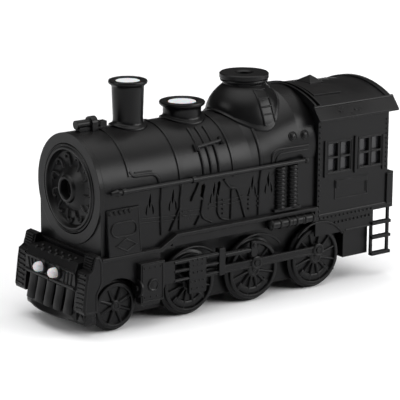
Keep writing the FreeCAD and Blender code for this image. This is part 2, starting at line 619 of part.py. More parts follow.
# ---- cylinders, slide bars, motion brackets ----
sizes(
    cylFront=78.0, cylRear=60.6, cylTop=40.6, cylLow=14.4, cylIn=31.5, cylOut=37.2, cylNeck=74.6,
    motionIn=34.6,
    motionOut=36.4, barTop=38.5, barTopLow=35.9, midHigh=32.4, midLow=30.6, lowHigh=26.6, lowLow=24.9,
    barRear=19.2,
    uprightRear=52.6, headFront=42.0, headRear=29.4, headLow=15.8, bracketRear=15.4, bracketFront=19.2,
    bracketLow=24.0, bracketTop=40.4, bracketFoot=36.0, footIn=32.6, radiusRear=-5.6, radiusLow=34.2,
    radiusHigh=37.2,
    hangRear=-9.2, hangLow=31.6, hangTop=41.0,
)
for word, side in sides:
    block = prism("cyl_block_" + word, [
        ("cylFront", "cylTop"), ("cylFront", "cylLow + 2"), ("cylFront - 1.6", "cylLow"),
        ("cylRear + 4", "cylLow"),
        ("cylRear", "cylLow + 10"), ("cylRear", "cylTop")], "xz", *sided(side, "cylIn", "cylOut"))
    inward = box("cyl_inward_" + word, ("cylRear", "cylNeck"), sided(side, "frameHalf", "cylIn + 0.5"),
                 ("cylLow + 2", "boardLow - boardThick"))
    clear = rod("cyl_clear_" + word, "y", "pilotX", "-pastBoiler", "pilotRadius", "archRadius",
        "pastBoiler + cylIn - 0.3")
    clear_right = rod("cyl_clear_right_" + word, "y", "pilotX", "0.3 - cylIn", "pilotRadius", "archRadius",
                      "pastBoiler + cylIn")
    node(cut("cylinder_%s_body" % word, fuse("cylinder_%s_sum" % word, [block, inward]),
             [clear if side > 0 else clear_right, whole_frame]), "cylinder_" + word)
    band = sided(side, "motionIn", "motionOut")
    node(fuse("slide_bars_%s_body" % word, [
        box("bar_top_" + word, ("barRear", "cylRear"), band, ("barTopLow", "barTop")),
        box("bar_mid_" + word, ("barRear", "cylRear"), band, ("midLow", "midHigh")),
        box("bar_low_" + word, ("barRear", "cylRear"), band, ("lowLow", "lowHigh")),
        box("bar_upright_" + word, ("uprightRear", "cylRear"), band, ("lowLow", "barTop")),
        box("crosshead_" + word, ("headRear", "headFront"), sided(side, "motionIn", "motionOut + 0.6"),
        ("headLow", "barTop - 1")),
    ]), "slide_bars_" + word)
    node(cut("motion_bracket_%s_body" % word, fuse("motion_bracket_%s_sum" % word, [
        box("bracket_" + word, ("bracketRear", "bracketFront"), band, ("bracketLow", "bracketTop")),
        box("bracket_foot_" + word, ("bracketRear", "bracketFront"),
        sided(side, "footIn", "motionIn + 0.2"),
            ("bracketFoot", "bracketTop")),
        box("radius_rod_" + word, ("radiusRear", "bracketRear"), band, ("radiusLow", "radiusHigh")),
        box("radius_hanger_" + word, ("hangRear", "radiusRear"), band, ("hangLow", "hangTop")),
    ]), [whole_frame]), "motion_bracket_" + word)

# ---- air reservoirs under the running board ----
sizes(tankFront=-20.0, tankRear=-54.2, tankZ=48.9, tankY=36.3, tankRadius=2.75, tankRing=3.0, ringWide=1.0)
for word, side in sides:
    y = "%d * tankY" % side
    parts = [rod("tank_tube_" + word, "x", "tankRear", y, "tankZ", "tankRadius", "tankFront - tankRear")]
    for i in range(5):
        parts.append(rod("tank_ring_%d_%s" % (i, word), "x",
            "tankRear + %d * (tankFront - tankRear - ringWide) / 4" % i, y,
                         "tankZ", "tankRing", "ringWide"))
    node(cut("reservoir_%s_body" % word, fuse("reservoir_%s_sum" % word, parts), [whole_frame]),
        "reservoir_" + word)

# ---- front beam, cowcatcher and headlamps ----
sizes(
    beamFront=118.2, beamHalf=27.0, wingOut=37.6, deckTop=45.2, deckLow=42.6, headstockLow=28.6,
    headstockBack=109.6,
    brow=115.6, browLow=39.0, lampY=8.0, lampZ=36.0, lampRadius=3.1, lampFront=121.4, lampBore=3.15,
    slatCount=5,
    slatWide=7.4, slatPitch=10.0, pilotBack=108.8, cheekTop=16.2, cheekX=114.8, cheekLow=8.0,
    pilotTop=28.6, pilotHalf=32.0, slatTopX=117.4, slatLowX=120.4, bibThick=3.6, lipLow=9.4, lipTop=14.6,
    lipFront=121.4, lipMid=119.6, lipHalf=9.0, lipBend=21.0,
)
sizes(
    wingRearLow=34.0, wingBack=109.4, wingKnee=27.0, wingFoot=16.4, wingToe=118.6, wingLipX=119.2,
    wingLipZ=18.0,
    wingFrontX=117.2, wingFrontZ=34.0, wingShoulderX=116.0, wingShoulderZ=41.0, wingStepX=113.0,
    wingStepZ=41.6,
    wingHornX=110.4, wingHornZ=50.4, wingPeakX=107.6, wingPeakZ=51.0, wingRearHigh=47.0,
)
wing_profile = [
    ("frameFront", "wingRearLow"), ("wingBack", "wingKnee"), ("wingBack", "wingFoot"),
    ("wingToe", "wingFoot"),
    ("wingLipX", "wingLipZ"), ("wingFrontX", "wingFrontZ"), ("wingShoulderX", "wingShoulderZ"),
    ("wingStepX", "wingStepZ"),
    ("wingHornX", "wingHornZ"), ("wingPeakX", "wingPeakZ"), ("frameFront", "wingRearHigh")]
beam_parts = [
    box("front_deck", ("frameFront", "headstockBack + 1"), ("-beamHalf", "beamHalf"),
    ("deckLow", "deckTop")),
    prism("headstock", [
        ("headstockBack", "deckTop"), ("brow", "deckTop"), ("beamFront", "browLow"),
        ("beamFront", "headstockLow"),
        ("headstockBack + 4", "headstockLow"), ("headstockBack + 4", "browLow"),
        ("headstockBack", "deckLow")],
        "xz", "-beamHalf", "beamHalf"),
]
for word, side in sides:
    beam_parts.append(prism("wing_" + word, wing_profile, "xz", *sided(side, "beamHalf - 0.2", "wingOut")))
lamp_holes = [rod("lamp_hole_" + word, "x", "headstockBack - 2", "%d * lampY" % side, "lampZ", "lampBore",
    "20")
              for word, side in sides]
node(cut("front_beam_body", fuse("front_beam_sum", beam_parts), lamp_holes), "front_beam")
lamps = []
for word, side in sides:
    y = "%d * lampY" % side
    lamps.append(fuse("lamp_" + word, [
        rod("lamp_tube_" + word, "x", "headstockBack + 5", y, "lampZ", "lampRadius",
        "lampFront - headstockBack - 5"),
        ball("lamp_tip_" + word, "lampFront", y, "lampZ", "lampRadius")]))
node(group("headlamps_body", lamps), "headlamps")
rake = [("slatTopX - bibThick", "pilotTop - 0.02"), ("slatTopX", "pilotTop - 0.02"),
    ("slatLowX", "lipTop - 0.5"),
        ("slatLowX - bibThick", "lipTop - 0.5")]
bib = prism("catcher_bib", [
    ("pilotBack", "pilotTop - 0.02"), ("slatTopX - 2", "pilotTop - 0.02"), ("slatLowX - 2.4", "lipTop"),
    ("slatLowX - 2.4", "lipLow + 0.6"), ("pilotBack", "lipLow + 0.6")], "xz", "-beamHalf + 0.5",
    "beamHalf - 0.5")
lip = prism("catcher_lip", [
    ("pilotBack", "-pilotHalf"), ("cheekX", "-pilotHalf"), ("lipMid", "-lipBend"), ("lipFront", "-lipHalf"),
    ("lipFront", "lipHalf"), ("lipMid", "lipBend"), ("cheekX", "pilotHalf"), ("pilotBack", "pilotHalf")],
    "xy", "lipLow", "lipTop")
catcher = [bib, lip]
slat_count = int(value("slatCount"))
for i in range(slat_count):
    middle = "(%s) * slatPitch" % (i - (slat_count - 1) / 2)
    catcher.append(prism("slat_%d" % i, rake, "xz", "%s - slatWide / 2" % middle,
        "%s + slatWide / 2" % middle))
for word, side in sides:
    cheek = prism("cheek_" + word, [
        ("pilotBack", "cheekTop"), ("cheekX - 1", "cheekTop"), ("cheekX", "lipTop"), ("cheekX", "cheekLow"),
        ("pilotBack", "cheekLow")], "xz",
        *sided(side, "beamHalf - 0.6", "pilotHalf"))
    catcher.append(cheek)
node(fuse("cowcatcher_body", catcher), "cowcatcher")

# ---- cab, roof, windows ----
sizes(
    roofRadius=68.2, roofAxis=58.1, roofThick=2.2, roofFront=-55.2, roofRear=-121.6, roofTilt=1.3,
    roofHinge=-56.0,
    frontRim=2.2, rearRim=1.2, rimStep=4.2, rimRearStart=-115.6, rimRearEnd=-119.6, gutterIn=32.2,
    gutterOut=33.4,
    gutterTop=118.3, gutterLow=115.8, eaveOut=39.3, eaveKnee=111.0, eaveLow=109.8, eaveInner=35.15,
    eaveInnerTop=114.3, windowTop=93.8, windowLow=75.4, paneWide=7.4, paneHigh=8.4,
    paneStep=10.0, paneDrop=9.6, unitOneX=-67.3, unitTwoX=-93.0, paneIn=32.9, paneBack=31.7,
    stripFront=-62.0,
    stripRear=-113.6, stripTop=98.0, stripLow=71.6, socketZ=56.0, socketHalf=5.0, socketFront=-110.0,
    socketBore=2.8,
    socketHigh=4.0,
)
cab_out = box("cab_out", ("cabRear", "cabFront"), ("-cabHalf", "cabHalf"), ("floorHigh", "gutterTop + 20"))
cab_in = box("cab_in", ("cabRear + cabWall", "cabFront - cabWall"),
    ("-(cabHalf - cabWall)", "cabHalf - cabWall"),
             ("floorHigh - 1", "gutterTop + 30"))
sill = box("rear_sill", ("floorRear", "cabRear + 0.5"), ("-cabHalf", "cabHalf"),
    ("floorHigh", "rearSillTop"))


def roof_rod(name, start, length, radius):
    """A round bar along the roof's own axis, which falls a little towards the rear."""
    obj = rod(name, "x", start, "0", "roofAxis - tan(roofTilt) * (roofHinge - (%s))" % start, radius,
        length)
    obj.Placement.Rotation = FreeCAD.Rotation(V(0, 1, 0), 90 - value("roofTilt"))
    return obj


under_roof = roof_rod("under_roof", "cabRear - 20", "120", "roofRadius - roofThick - 0.05")
windows = []
for unit in ("unitOneX", "unitTwoX"):
    for column in range(2):
        for row in range(2):
            front = "%s - %d * paneStep" % (unit, column)
            top = "windowTop - %d * paneDrop" % row
            windows.append(box("pane_hole_%s_%d_%d" % (unit, column, row), ("%s - paneWide" % front, front),
                               ("-pastBoiler", "pastBoiler"), ("%s - paneHigh" % top, top)))
socket_hole = box("socket_hole", ("floorRear - 5", "cabRear + 4"),
    ("-socketHalf - 0.1", "socketHalf + 0.1"),
                  ("socketZ - socketHigh - 0.1", "socketZ + socketHigh + 0.1"))
hollow_cab = cut("cab_hollow", fuse("cab_blank", [cab_out, sill]), [cab_in] + windows + [socket_hole])
node(common("cab_shell_body", hollow_cab, under_roof), "cab_shell")
for word, side in sides:
    node(box("cab_windows_%s_body" % word, ("stripRear", "stripFront"), sided(side, "paneBack", "paneIn"),
             ("stripLow", "stripTop")), "cab_windows_" + word)
roof_length = "roofFront - roofRear"
roof_rings = [roof_rod("roof_out", "roofRear", roof_length, "roofRadius")]
for word, start, wide, proud in (("front", "roofFront - 1.4", "1.4", "frontRim"),
    ("second", "roofFront - rimStep - 1", "1.2", "frontRim"),
                                 ("rear", "rimRearEnd", "rimRearStart - rimRearEnd", "rearRim")):
    roof_rings.append(roof_rod("roof_rim_" + word, start, wide, "roofRadius + " + proud))
roof_arc = cut("roof_arc", fuse("roof_rings", roof_rings),
               [roof_rod("roof_in", "roofRear - 3", roof_length + " + 6", "roofRadius - roofThick")])
roof_room = box("roof_room", ("roofRear", "roofFront"), ("-gutterOut", "gutterOut"),
    ("roofAxis + 50", "roofAxis + 80"))
roof_parts = [common("roof_shell", roof_arc, roof_room)]
for word, side in sides:
    eave = [("%d * %s" % (side, y), z) for y, z in (
        ("gutterIn", "gutterLow"), ("gutterIn", "gutterTop"), ("gutterOut", "gutterTop"),
        ("eaveOut", "eaveKnee"),
        ("eaveOut", "eaveLow"), ("eaveInner", "eaveLow"), ("eaveInner", "eaveInnerTop"))]
    roof_parts.append(prism("eave_" + word, eave, "yz", "roofRear", "roofFront - 1"))
node(cut("cab_roof_body", fuse("cab_roof_sum", roof_parts), [grown("roof_saddle", "0.1")]), "cab_roof")
sizes(
    ventX=-80.0, ventHalf=5.2, ventHalfY=6.8, ventTop=131.0, ventLow=122.0, ventPeak=0.3, eaveUnder=126.6,
    plinthTop=127.2,
    boardFore=-65.0, boardAft=-87.5, boardWide=22.0, boardProud=1.1,
)
vent = doc.addObject("Part::Wedge", "vent_pyramid")
vent.Placement.Rotation = FreeCAD.Rotation(V(1, 0, 0), 90)
for prop, text in (("Xmin", "-ventHalf"), ("Xmax", "ventHalf"), ("Ymin", "0"),
    ("Ymax", "ventTop - plinthTop"),
                   ("Zmin", "-ventHalfY"), ("Zmax", "ventHalfY"), ("X2min", "-ventPeak"),
                   ("X2max", "ventPeak"),
                   ("Z2min", "-ventPeak"), ("Z2max", "ventPeak")):
    vent.setExpression(prop, ex(text))
place(vent, "ventX", "0", "plinthTop - 0.01")
plinth = box("vent_plinth", ("ventX - ventHalf + 0.8", "ventX + ventHalf - 0.8"),
             ("-ventHalfY + 0.8", "ventHalfY - 0.8"), ("ventLow", "plinthTop"))
lip = box("vent_lip", ("ventX - ventHalf", "ventX + ventHalf"), ("-ventHalfY", "ventHalfY"),
    ("eaveUnder", "plinthTop"))
vent_board = common("vent_board", roof_rod("vent_board_round", "roofRear", roof_length,
    "roofRadius + boardProud"),
                    box("vent_board_room", ("boardAft", "boardFore"), ("-boardWide", "boardWide"),
                    ("roofAxis", "ventTop")))
roof_solid = roof_rod("roof_solid", "roofRear", roof_length, "roofRadius + 0.01")
node(cut("roof_vent_body", fuse("vent_sum", [vent, plinth, lip, vent_board]), [roof_solid]), "roof_vent")

# ---- steps and ash pan under the cab ----
sizes(
    stepsFront=-105.6, stepsRear=-121.2, stepsOut=35.1, stepsIn=31.6, stepsLow=14.6, railWide=1.8,
    treadHigh=2.0,
    treadOne=35.0, treadTwo=25.6, treadThree=14.6, panFront=-85.2, panRear=-105.6, panHalf=30.0,
    panLow=16.0, panWall=1.8,
)
for word, side in sides:
    across = sided(side, "stepsIn", "stepsOut")
    parts = [box("step_leg_%s_%s" % (end, word), (low, high), sided(side, "stepsIn", "stepsIn + 1.6"),
        ("stepsLow", "floorLow"))
             for end, low, high in (("front", "stepsFront - railWide", "stepsFront"),
                 ("rear", "stepsRear", "stepsRear + railWide"))]
    for tread in ("treadOne", "treadTwo", "treadThree"):
        parts.append(box("step_%s_%s" % (tread, word), ("stepsRear", "stepsFront"), across,
            (tread, "%s + treadHigh" % tread)))
    node(fuse("cab_steps_%s_body" % word, parts), "cab_steps_" + word)
pan = box("pan_out", ("panRear", "panFront"), ("-panHalf", "panHalf"), ("panLow", "floorLow"))
pan_room = box("pan_in", ("panRear + panWall", "panFront - panWall"),
    ("-(panHalf - panWall)", "panHalf - panWall"),
               ("panLow + panWall", "floorLow + 1"))
node(cut("ash_pan_body", pan, [pan_room]), "ash_pan")

# ---- base plate and screws ----
sizes(baseThick=2.0, screwHead=2.6, screwHeadHigh=1.2, screwShank=1.2, screwLong=9.0, screwY=19.0,
    postRadius=2.6)
base = box("base_sheet", ("boxRear", "boxFront"), ("-frameHalf", "frameHalf"),
    ("frameBottom - baseThick", "frameBottom"))
screw_spots = [(x, y) for x in ("boxFront - 26", "15", "boxRear + 10") for y in ("screwY", "-screwY")]
screw_holes = []
screws = []
posts = []
for i, (x, y) in enumerate(screw_spots):
    bottom = "frameBottom - baseThick"
    screw_holes.append(rod("screw_hole_%d" % i, "z", x, y, "0", "screwShank + 0.02", "40"))
    screw_holes.append(rod("screw_sink_%d" % i, "z", x, y, "0", "screwHead + 0.1",
        "%s + screwHeadHigh" % bottom))
    screws.append(fuse("screw_%d" % i, [
        rod("screw_head_%d" % i, "z", x, y, bottom, "screwHead", "screwHeadHigh - 0.02"),
        rod("screw_shank_%d" % i, "z", x, y, bottom, "screwShank", "screwLong")]))
    posts.append(cut("boss_%d" % i, rod("boss_out_%d" % i, "z", x, y, "frameBottom", "postRadius", "8"),
                     [rod("boss_in_%d" % i, "z", x, y, "frameBottom - 1", "screwShank + 0.02", "20")]))
node(cut("base_plate_body", fuse("base_plate_sum", [base] + posts), screw_holes), "base_plate")
node(group("case_screws_body", screws), "case_screws")

# ---- water tank, mist unit, fan, board, lights, power socket ----
sizes(
    tankBoxFront=2.0, tankBoxRear=-55.4, tankBoxHalf=22.0, tankBoxLow=61.0, tankBoxTop=102.0,
    tankBoxWall=1.6,
    fillOuter=15.0, fillInner=13.2, fillTop=113.0, piezoX=-26.7, piezoHole=8.0, piezoRadius=10.0,
    piezoThick=0.8,
    holderOuter=13.0, holderInner=8.6, holderLow=56.4, fanX=34.0, fanHalf=15.0, fanLow=56.0, fanHigh=62.0,
    fanBore=14.0, fanTip=13.4, fanHub=5.0, fanSpindle=1.2, boardFront=84.0, boardRear=-40.0,
    circuitHalf=20.0, circuitLow=33.0,
    circuitThick=1.6, ledLow=70.0, ledHigh=76.0, ledIn=24.6, ledOut=25.6, ledFront=74.0, ledRear=-28.0,
    flameIn=28.6,
    flameOut=29.8, flameLow=56.0, flameHigh=87.0, flameFront=76.0, flameRear=-30.0, shelfTop=54.0,
    armHalf=28.2,
    rotorBlades=7, rotorThick=0.9, rotorHigh=4.2, rotorTilt=28.0, ledCount=8, ledPitch=12.0, ledLong=3.0,
    ledProud=0.9,
    chipRear=-20.0, chipFront=-8.0, chipHalf=6.0, chipHigh=1.6, choke=10.0, chokeSide=4.0, chokeHigh=6.0,
    canX=34.0, canY=-9.0, canRadius=4.0, canHigh=9.0, canTwoX=48.0, canTwoY=8.0, canTwoRadius=3.0,
    canTwoHigh=7.0,
    circuitArm=8.0, socketPin=0.9, socketPinLong=9.0,
)
tank_out = fuse("tank_out", [
    box("tank_box", ("tankBoxRear", "tankBoxFront"), ("-tankBoxHalf", "tankBoxHalf"),
    ("tankBoxLow", "tankBoxTop")),
    rod("tank_neck", "z", "domeX", "0", "tankBoxTop - 1", "fillOuter", "fillTop - tankBoxTop + 1")])
tank_room = [
    box("tank_space", ("tankBoxRear + tankBoxWall", "tankBoxFront - tankBoxWall"),
        ("-(tankBoxHalf - tankBoxWall)", "tankBoxHalf - tankBoxWall"),
        ("tankBoxLow + tankBoxWall", "tankBoxTop - tankBoxWall")),
    rod("tank_mouth", "z", "domeX", "0", "tankBoxTop - 4", "fillInner", "20"),
    rod("tank_drain", "z", "piezoX", "0", "tankBoxLow - 1", "piezoHole", "6"),
]
node(cut("water_tank_body", tank_out, tank_room), "water_tank")
node(rod("piezo_disc_body", "z", "piezoX", "0", "tankBoxLow - piezoThick", "piezoRadius", "piezoThick"),
    "piezo_disc")
holder_ring = cut("holder_ring", rod("holder_out", "z", "piezoX", "0", "holderLow", "holderOuter",
    "tankBoxLow - holderLow"),
                  [rod("holder_in", "z", "piezoX", "0", "holderLow - 1", "holderInner", "10"),
                   rod("holder_seat", "z", "piezoX", "0", "tankBoxLow - piezoThick", "piezoRadius + 0.1",
                   "5")])
holder_arm = box("holder_arm", ("piezoX - 3", "piezoX + 3"), ("-armHalf", "armHalf"),
    ("shelfTop", "holderLow + 0.5"))
holder_arm_hole = rod("holder_arm_hole", "z", "piezoX", "0", "shelfTop - 1", "holderInner", "10")
node(fuse("piezo_holder_body", [holder_ring, cut("holder_arm_open", holder_arm, [holder_arm_hole])]),
    "piezo_holder")
node(spin("dome_seal_body", [
    ("sealInner", "sealLow"), ("sealOuter", "sealLow"), ("sealOuter", "sealHigh"),
    ("sealInner", "sealHigh")], "domeX", "0"),
    "dome_seal")
fan_block = box("fan_block", ("fanX - fanHalf", "fanX + fanHalf"), ("-fanHalf", "fanHalf"),
    ("fanLow", "fanHigh"))
fan_wings = box("fan_wings", ("fanX - 4", "fanX + 4"), ("-armHalf", "armHalf"),
    ("shelfTop", "fanLow + 1.4"))
fan_hole = rod("fan_hole", "z", "fanX", "0", "shelfTop - 1", "fanBore", "20")
fan_cross = box("fan_cross", ("fanX - 1.5", "fanX + 1.5"), ("-(fanHalf - 0.5)", "fanHalf - 0.5"),
    ("shelfTop", "shelfTop + 1.2"))
fan_spindle = rod("fan_spindle", "z", "fanX", "0", "shelfTop", "fanSpindle", "fanHigh - shelfTop - 1")
node(fuse("fan_frame_body", [cut("fan_open", fuse("fan_sum", [fan_block, fan_wings]), [fan_hole]),
    fan_cross, fan_spindle]),
     "fan_frame")
rotor_parts = [rod("rotor_hub", "z", "fanX", "0", "fanLow + 0.4", "fanHub", "fanHigh - fanLow - 0.8")]
blade_total = int(value("rotorBlades"))
for i in range(blade_total):
    angle = 360.0 * i / blade_total
    vane = doc.addObject("Part::Box", "rotor_blade_%d" % i)
    vane.setExpression("Length", ex("fanTip - fanHub + 1"))
    vane.setExpression("Width", ex("rotorThick"))
    vane.setExpression("Height", ex("rotorHigh"))
    vane.Placement.Rotation = FreeCAD.Rotation(V(0, 0, 1), angle) * FreeCAD.Rotation(V(1, 0, 0),
        value("rotorTilt"))
    rotor_parts.append(place(vane, "fanX + cos(%.3f) * (fanHub - 1)" % angle,
        "sin(%.3f) * (fanHub - 1)" % angle,
                             "fanLow + 0.9"))
rotor_bore = rod("rotor_bore", "z", "fanX", "0", "fanLow - 1", "fanSpindle + 0.06", "20")
node(cut("fan_rotor_body", fuse("rotor_sum", rotor_parts), [rotor_bore]), "fan_rotor")
circuit_top = "circuitLow + circuitThick"
circuit = fuse("control_board_body", [
    box("circuit_sheet", ("boardRear", "boardFront"), ("-circuitHalf", "circuitHalf"),
    ("circuitLow", circuit_top)),
    box("circuit_chip", ("chipRear", "chipFront"), ("-chipHalf", "chipHalf"),
    (circuit_top, circuit_top + " + chipHigh")),
    box("circuit_choke", ("choke", "2 * choke"), ("chokeSide", "chokeSide + choke"),
    (circuit_top, circuit_top + " + chokeHigh")),
    rod("circuit_can", "z", "canX", "canY", circuit_top, "canRadius", "canHigh"),
    rod("circuit_can_two", "z", "canTwoX", "canTwoY", circuit_top, "canTwoRadius", "canTwoHigh"),
    box("circuit_arm_left", ("0", "circuitArm"), ("circuitHalf - 1", "frameHalf - frameWall"),
    ("circuitLow", circuit_top)),
    box("circuit_arm_right", ("0", "circuitArm"), ("-(frameHalf - frameWall)", "1 - circuitHalf"),
    ("circuitLow", circuit_top)),
])
node(circuit, "control_board")
strips = []
for word, side in sides:
    strip = box("led_strip_" + word, ("ledRear", "ledFront"), sided(side, "ledIn", "ledOut"),
        ("ledLow", "ledHigh"))
    lights = [box("led_%d_%s" % (i, word), ("ledRear + ledPitch * %s" % (i + 0.5),
        "ledRear + ledPitch * %s + ledLong" % (i + 0.5)),
                  sided(side, "ledOut", "ledOut + ledProud"), ("ledLow + 1.5", "ledHigh - 1.5"))
              for i in range(int(value("ledCount")))]
    legs = [box("led_leg_%d_%s" % (i, word), (x, "%s + 3" % x), sided(side, "ledIn", "ledOut"),
        ("shelfTop", "ledLow + 0.5"))
            for i, x in enumerate(("ledRear + 10", "ledFront - 30"))]
    strips.append(fuse("led_bar_" + word, [strip] + lights + legs))
node(group("led_strips_body", strips), "led_strips")
for word, side in sides:
    node(box("flame_panel_%s_body" % word, ("flameRear", "flameFront"), sided(side, "flameIn", "flameOut"),
             ("flameLow", "flameHigh")), "flame_panel_" + word)
socket_box = box("socket_box", ("floorRear", "socketFront"), ("-socketHalf", "socketHalf"),
                 ("socketZ - socketHigh", "socketZ + socketHigh"))
socket_bore = rod("socket_bore", "x", "floorRear - 1", "0", "socketZ", "socketBore", "10.5")
socket_foot = box("socket_foot", ("cabRear + 4", "socketFront"), ("-2", "2"), ("floorHigh", "socketZ"))
socket_pin = rod("socket_pin", "x", "floorRear + 2", "0", "socketZ", "socketPin", "socketPinLong")
node(fuse("power_socket_body", [cut("socket_open", fuse("socket_sum", [socket_box, socket_foot]),
    [socket_bore]), socket_pin]),
     "power_socket")

doc.recompute()
for obj in doc.Objects:
    if "Invalid" in obj.State or "Error" in obj.State:
        raise RuntimeError("%s did not build: %s" % (obj.Name, obj.State))
seen = set()
for obj in nodes:
    shape = obj.Shape
    if shape.isNull() or not shape.isValid() or not shape.Solids:
        raise RuntimeError("%s has no sound solid" % obj.Label)
    if obj.Label in seen:
        raise RuntimeError("two nodes named " + obj.Label)
    seen.add(obj.Label)
    shape.exportStep("parts/%s.step" % obj.Label)
print("nodes", len(nodes))
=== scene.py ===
import bpy
import json
import math
import numpy as np
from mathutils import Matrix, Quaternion, Vector


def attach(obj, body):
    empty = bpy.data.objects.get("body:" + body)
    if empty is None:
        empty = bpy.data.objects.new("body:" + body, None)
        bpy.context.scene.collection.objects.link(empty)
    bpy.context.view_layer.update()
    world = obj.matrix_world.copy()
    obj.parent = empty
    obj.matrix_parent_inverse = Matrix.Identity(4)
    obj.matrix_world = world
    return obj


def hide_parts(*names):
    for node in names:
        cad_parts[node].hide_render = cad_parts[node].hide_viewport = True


# Looks for a black moulded locomotive-shaped mist lamp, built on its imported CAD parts.
# Shapes are worked out in millimetres in the CAD frame and written to the meshes in metres.

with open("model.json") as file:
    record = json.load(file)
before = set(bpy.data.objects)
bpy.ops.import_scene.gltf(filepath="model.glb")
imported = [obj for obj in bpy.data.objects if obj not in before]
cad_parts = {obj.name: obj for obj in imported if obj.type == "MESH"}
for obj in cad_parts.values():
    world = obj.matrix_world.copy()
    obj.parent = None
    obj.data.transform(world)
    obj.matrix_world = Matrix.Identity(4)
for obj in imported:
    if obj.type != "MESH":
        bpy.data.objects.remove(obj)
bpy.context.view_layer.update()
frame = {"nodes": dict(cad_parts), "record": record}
nodes = frame["nodes"]
print("frame loaded:", len(nodes), "nodes")

millimetre = 0.001
fullTurn = 2 * math.pi
creaseDegrees = 38


# Every cell of a rows by columns grid becomes one four-sided face; wrapping joins the last line to the
# first.
def gridQuads(rows, columns, wrapRows, wrapColumns):
    i = np.arange(rows if wrapRows else rows - 1)[:, None]
    j = np.arange(columns if wrapColumns else columns - 1)[None, :]
    nextI, nextJ = (i + 1) % rows, (j + 1) % columns
    return np.stack([i * columns + j, i * columns + nextJ, nextI * columns + nextJ, nextI * columns + j],
                    -1).reshape(-1, 4)


# A part is a list of points and a list of quads; this makes one from a grid of points.
def gridPart(points, wrapRows=False, wrapColumns=False):
    rows, columns = points.shape[:2]
    return points.reshape(-1, 3), gridQuads(rows, columns, wrapRows, wrapColumns)


# Parts put one after another, each part's face numbers moved on by the points before it.
def joinParts(parts):
    starts = np.cumsum([0] + [len(points) for points, quads in parts])
    return (np.concatenate([points for points, quads in parts]),
            np.concatenate([quads + start for (points, quads), start in zip(parts, starts)]))


# Copies of a part, each moved by one of the offsets.
def moved(part, offsets):
    points, quads = part
    offsets = np.atleast_2d(np.asarray(offsets, float))
    copies = points[None] + offsets[:, None]
    steps = np.arange(len(offsets))[:, None, None] * len(points)
    return copies.reshape(-1, 3), (quads[None] + steps).reshape(-1, 4)


# Copies of a part turned about a line along one axis: the two other coordinates turn by sine and cosine of
# each angle.
def turned(part, axis, centre, angles):
    points, quads = part
    a, b = [(1, 2), (2, 0), (0, 1)][axis]
    angles = np.atleast_1d(np.asarray(angles, float))[:, None]
    da, db = points[None, :, a] - centre[a], points[None, :, b] - centre[b]
    copies = np.repeat(points[None], len(angles), 0)
    copies[..., a] = centre[a] + da * np.cos(angles) - db * np.sin(angles)
    copies[..., b] = centre[b] + da * np.sin(angles) + db * np.cos(angles)
    steps = np.arange(len(angles))[:, None, None] * len(points)
    return copies.reshape(-1, 3), (quads[None] + steps).reshape(-1, 4)


# The same part on both sides of the engine: a second copy has y turned about and its faces run the other
# way.
def bothSides(part):
    points, quads = part
    return joinParts([part, (points * [1, -1, 1], quads[:, ::-1])])


# A profile of (radius, distance along the axis) turned about a line along one axis.
def lathe(profile, axis, centre, sides, closed=False):
    profile = np.asarray(profile, float)
    angle = np.linspace(0, fullTurn, sides, endpoint=False)
    points = np.zeros((len(profile), sides, 3))
    a, b = [(1, 2), (2, 0), (0, 1)][axis]
    points[..., axis] = profile[:, 1:2] + centre[axis]
    points[..., a] = centre[a] + profile[:, :1] * np.cos(angle)
    points[..., b] = centre[b] + profile[:, :1] * np.sin(angle)
    return gridPart(points, closed, True)


# A path resampled evenly by its length, after each inner corner is softened by a running mean over the
# samples.
def softPath(corners, samples, softness):
    corners = np.asarray(corners, float)
    lengths = np.concatenate([[0], np.cumsum(np.linalg.norm(np.diff(corners, axis=0), axis=1))])
    spots = np.linspace(0, lengths[-1], samples)
    path = np.stack([np.interp(spots, lengths, corners[:, k]) for k in range(corners.shape[1])], 1)
    if softness:
        padded = np.concatenate([2 * path[:1] - path[1:softness + 1][::-1], path,
                                 2 * path[-1:] - path[-softness - 1:-1][::-1]])
        kernel = np.ones(2 * softness + 1) / (2 * softness + 1)
        path = np.stack([np.convolve(padded[:, k], kernel, "valid") for k in range(path.shape[1])], 1)
    return path


# A run of sections joined into a part, with both ends closed on their middle.
def closedRun(points):
    ends = np.repeat(points.mean(1, keepdims=True), points.shape[1], 1)
    return gridPart(np.concatenate([ends[:1], points, ends[-1:]]), False, True)


# A closed section carried along a path: across the path by the first number, along the surface normal by
# the second. Corners are mitred by the cosine of half the turn, and both ends close on their middle.
def sweep(path, normals, section, closed=False):
    path, normals = np.asarray(path, float), np.asarray(normals, float)
    ahead = np.roll(path, -1, 0) - path
    behind = path - np.roll(path, 1, 0)
    if not closed:
        ahead[-1], behind[0] = behind[-1], ahead[0]
    ahead /= np.linalg.norm(ahead, axis=1, keepdims=True)
    behind /= np.linalg.norm(behind, axis=1, keepdims=True)
    along = ahead + behind
    along /= np.linalg.norm(along, axis=1, keepdims=True)
    mitre = 1 / np.clip((along * ahead).sum(1), 0.6, 1)
    side = np.cross(along, normals)
    side *= (mitre / np.linalg.norm(side, axis=1))[:, None]
    section = np.asarray(section, float)
    points = path[:, None] + side[:, None] * section[None, :, :1] + normals[:, None] * section[None, :, 1:]
    return gridPart(points, True, True) if closed else closedRun(points)


# Outlines in a plane, each at its own level along one axis, stacked into a grid of points.
def stacked(rows, axis):
    flat = [k for k in range(3) if k != axis]
    points = np.zeros((len(rows), len(rows[0][0]), 3))
    for row, (spots, level) in enumerate(rows):
        points[row][:, flat] = spots
        points[row, :, axis] = level
    return points


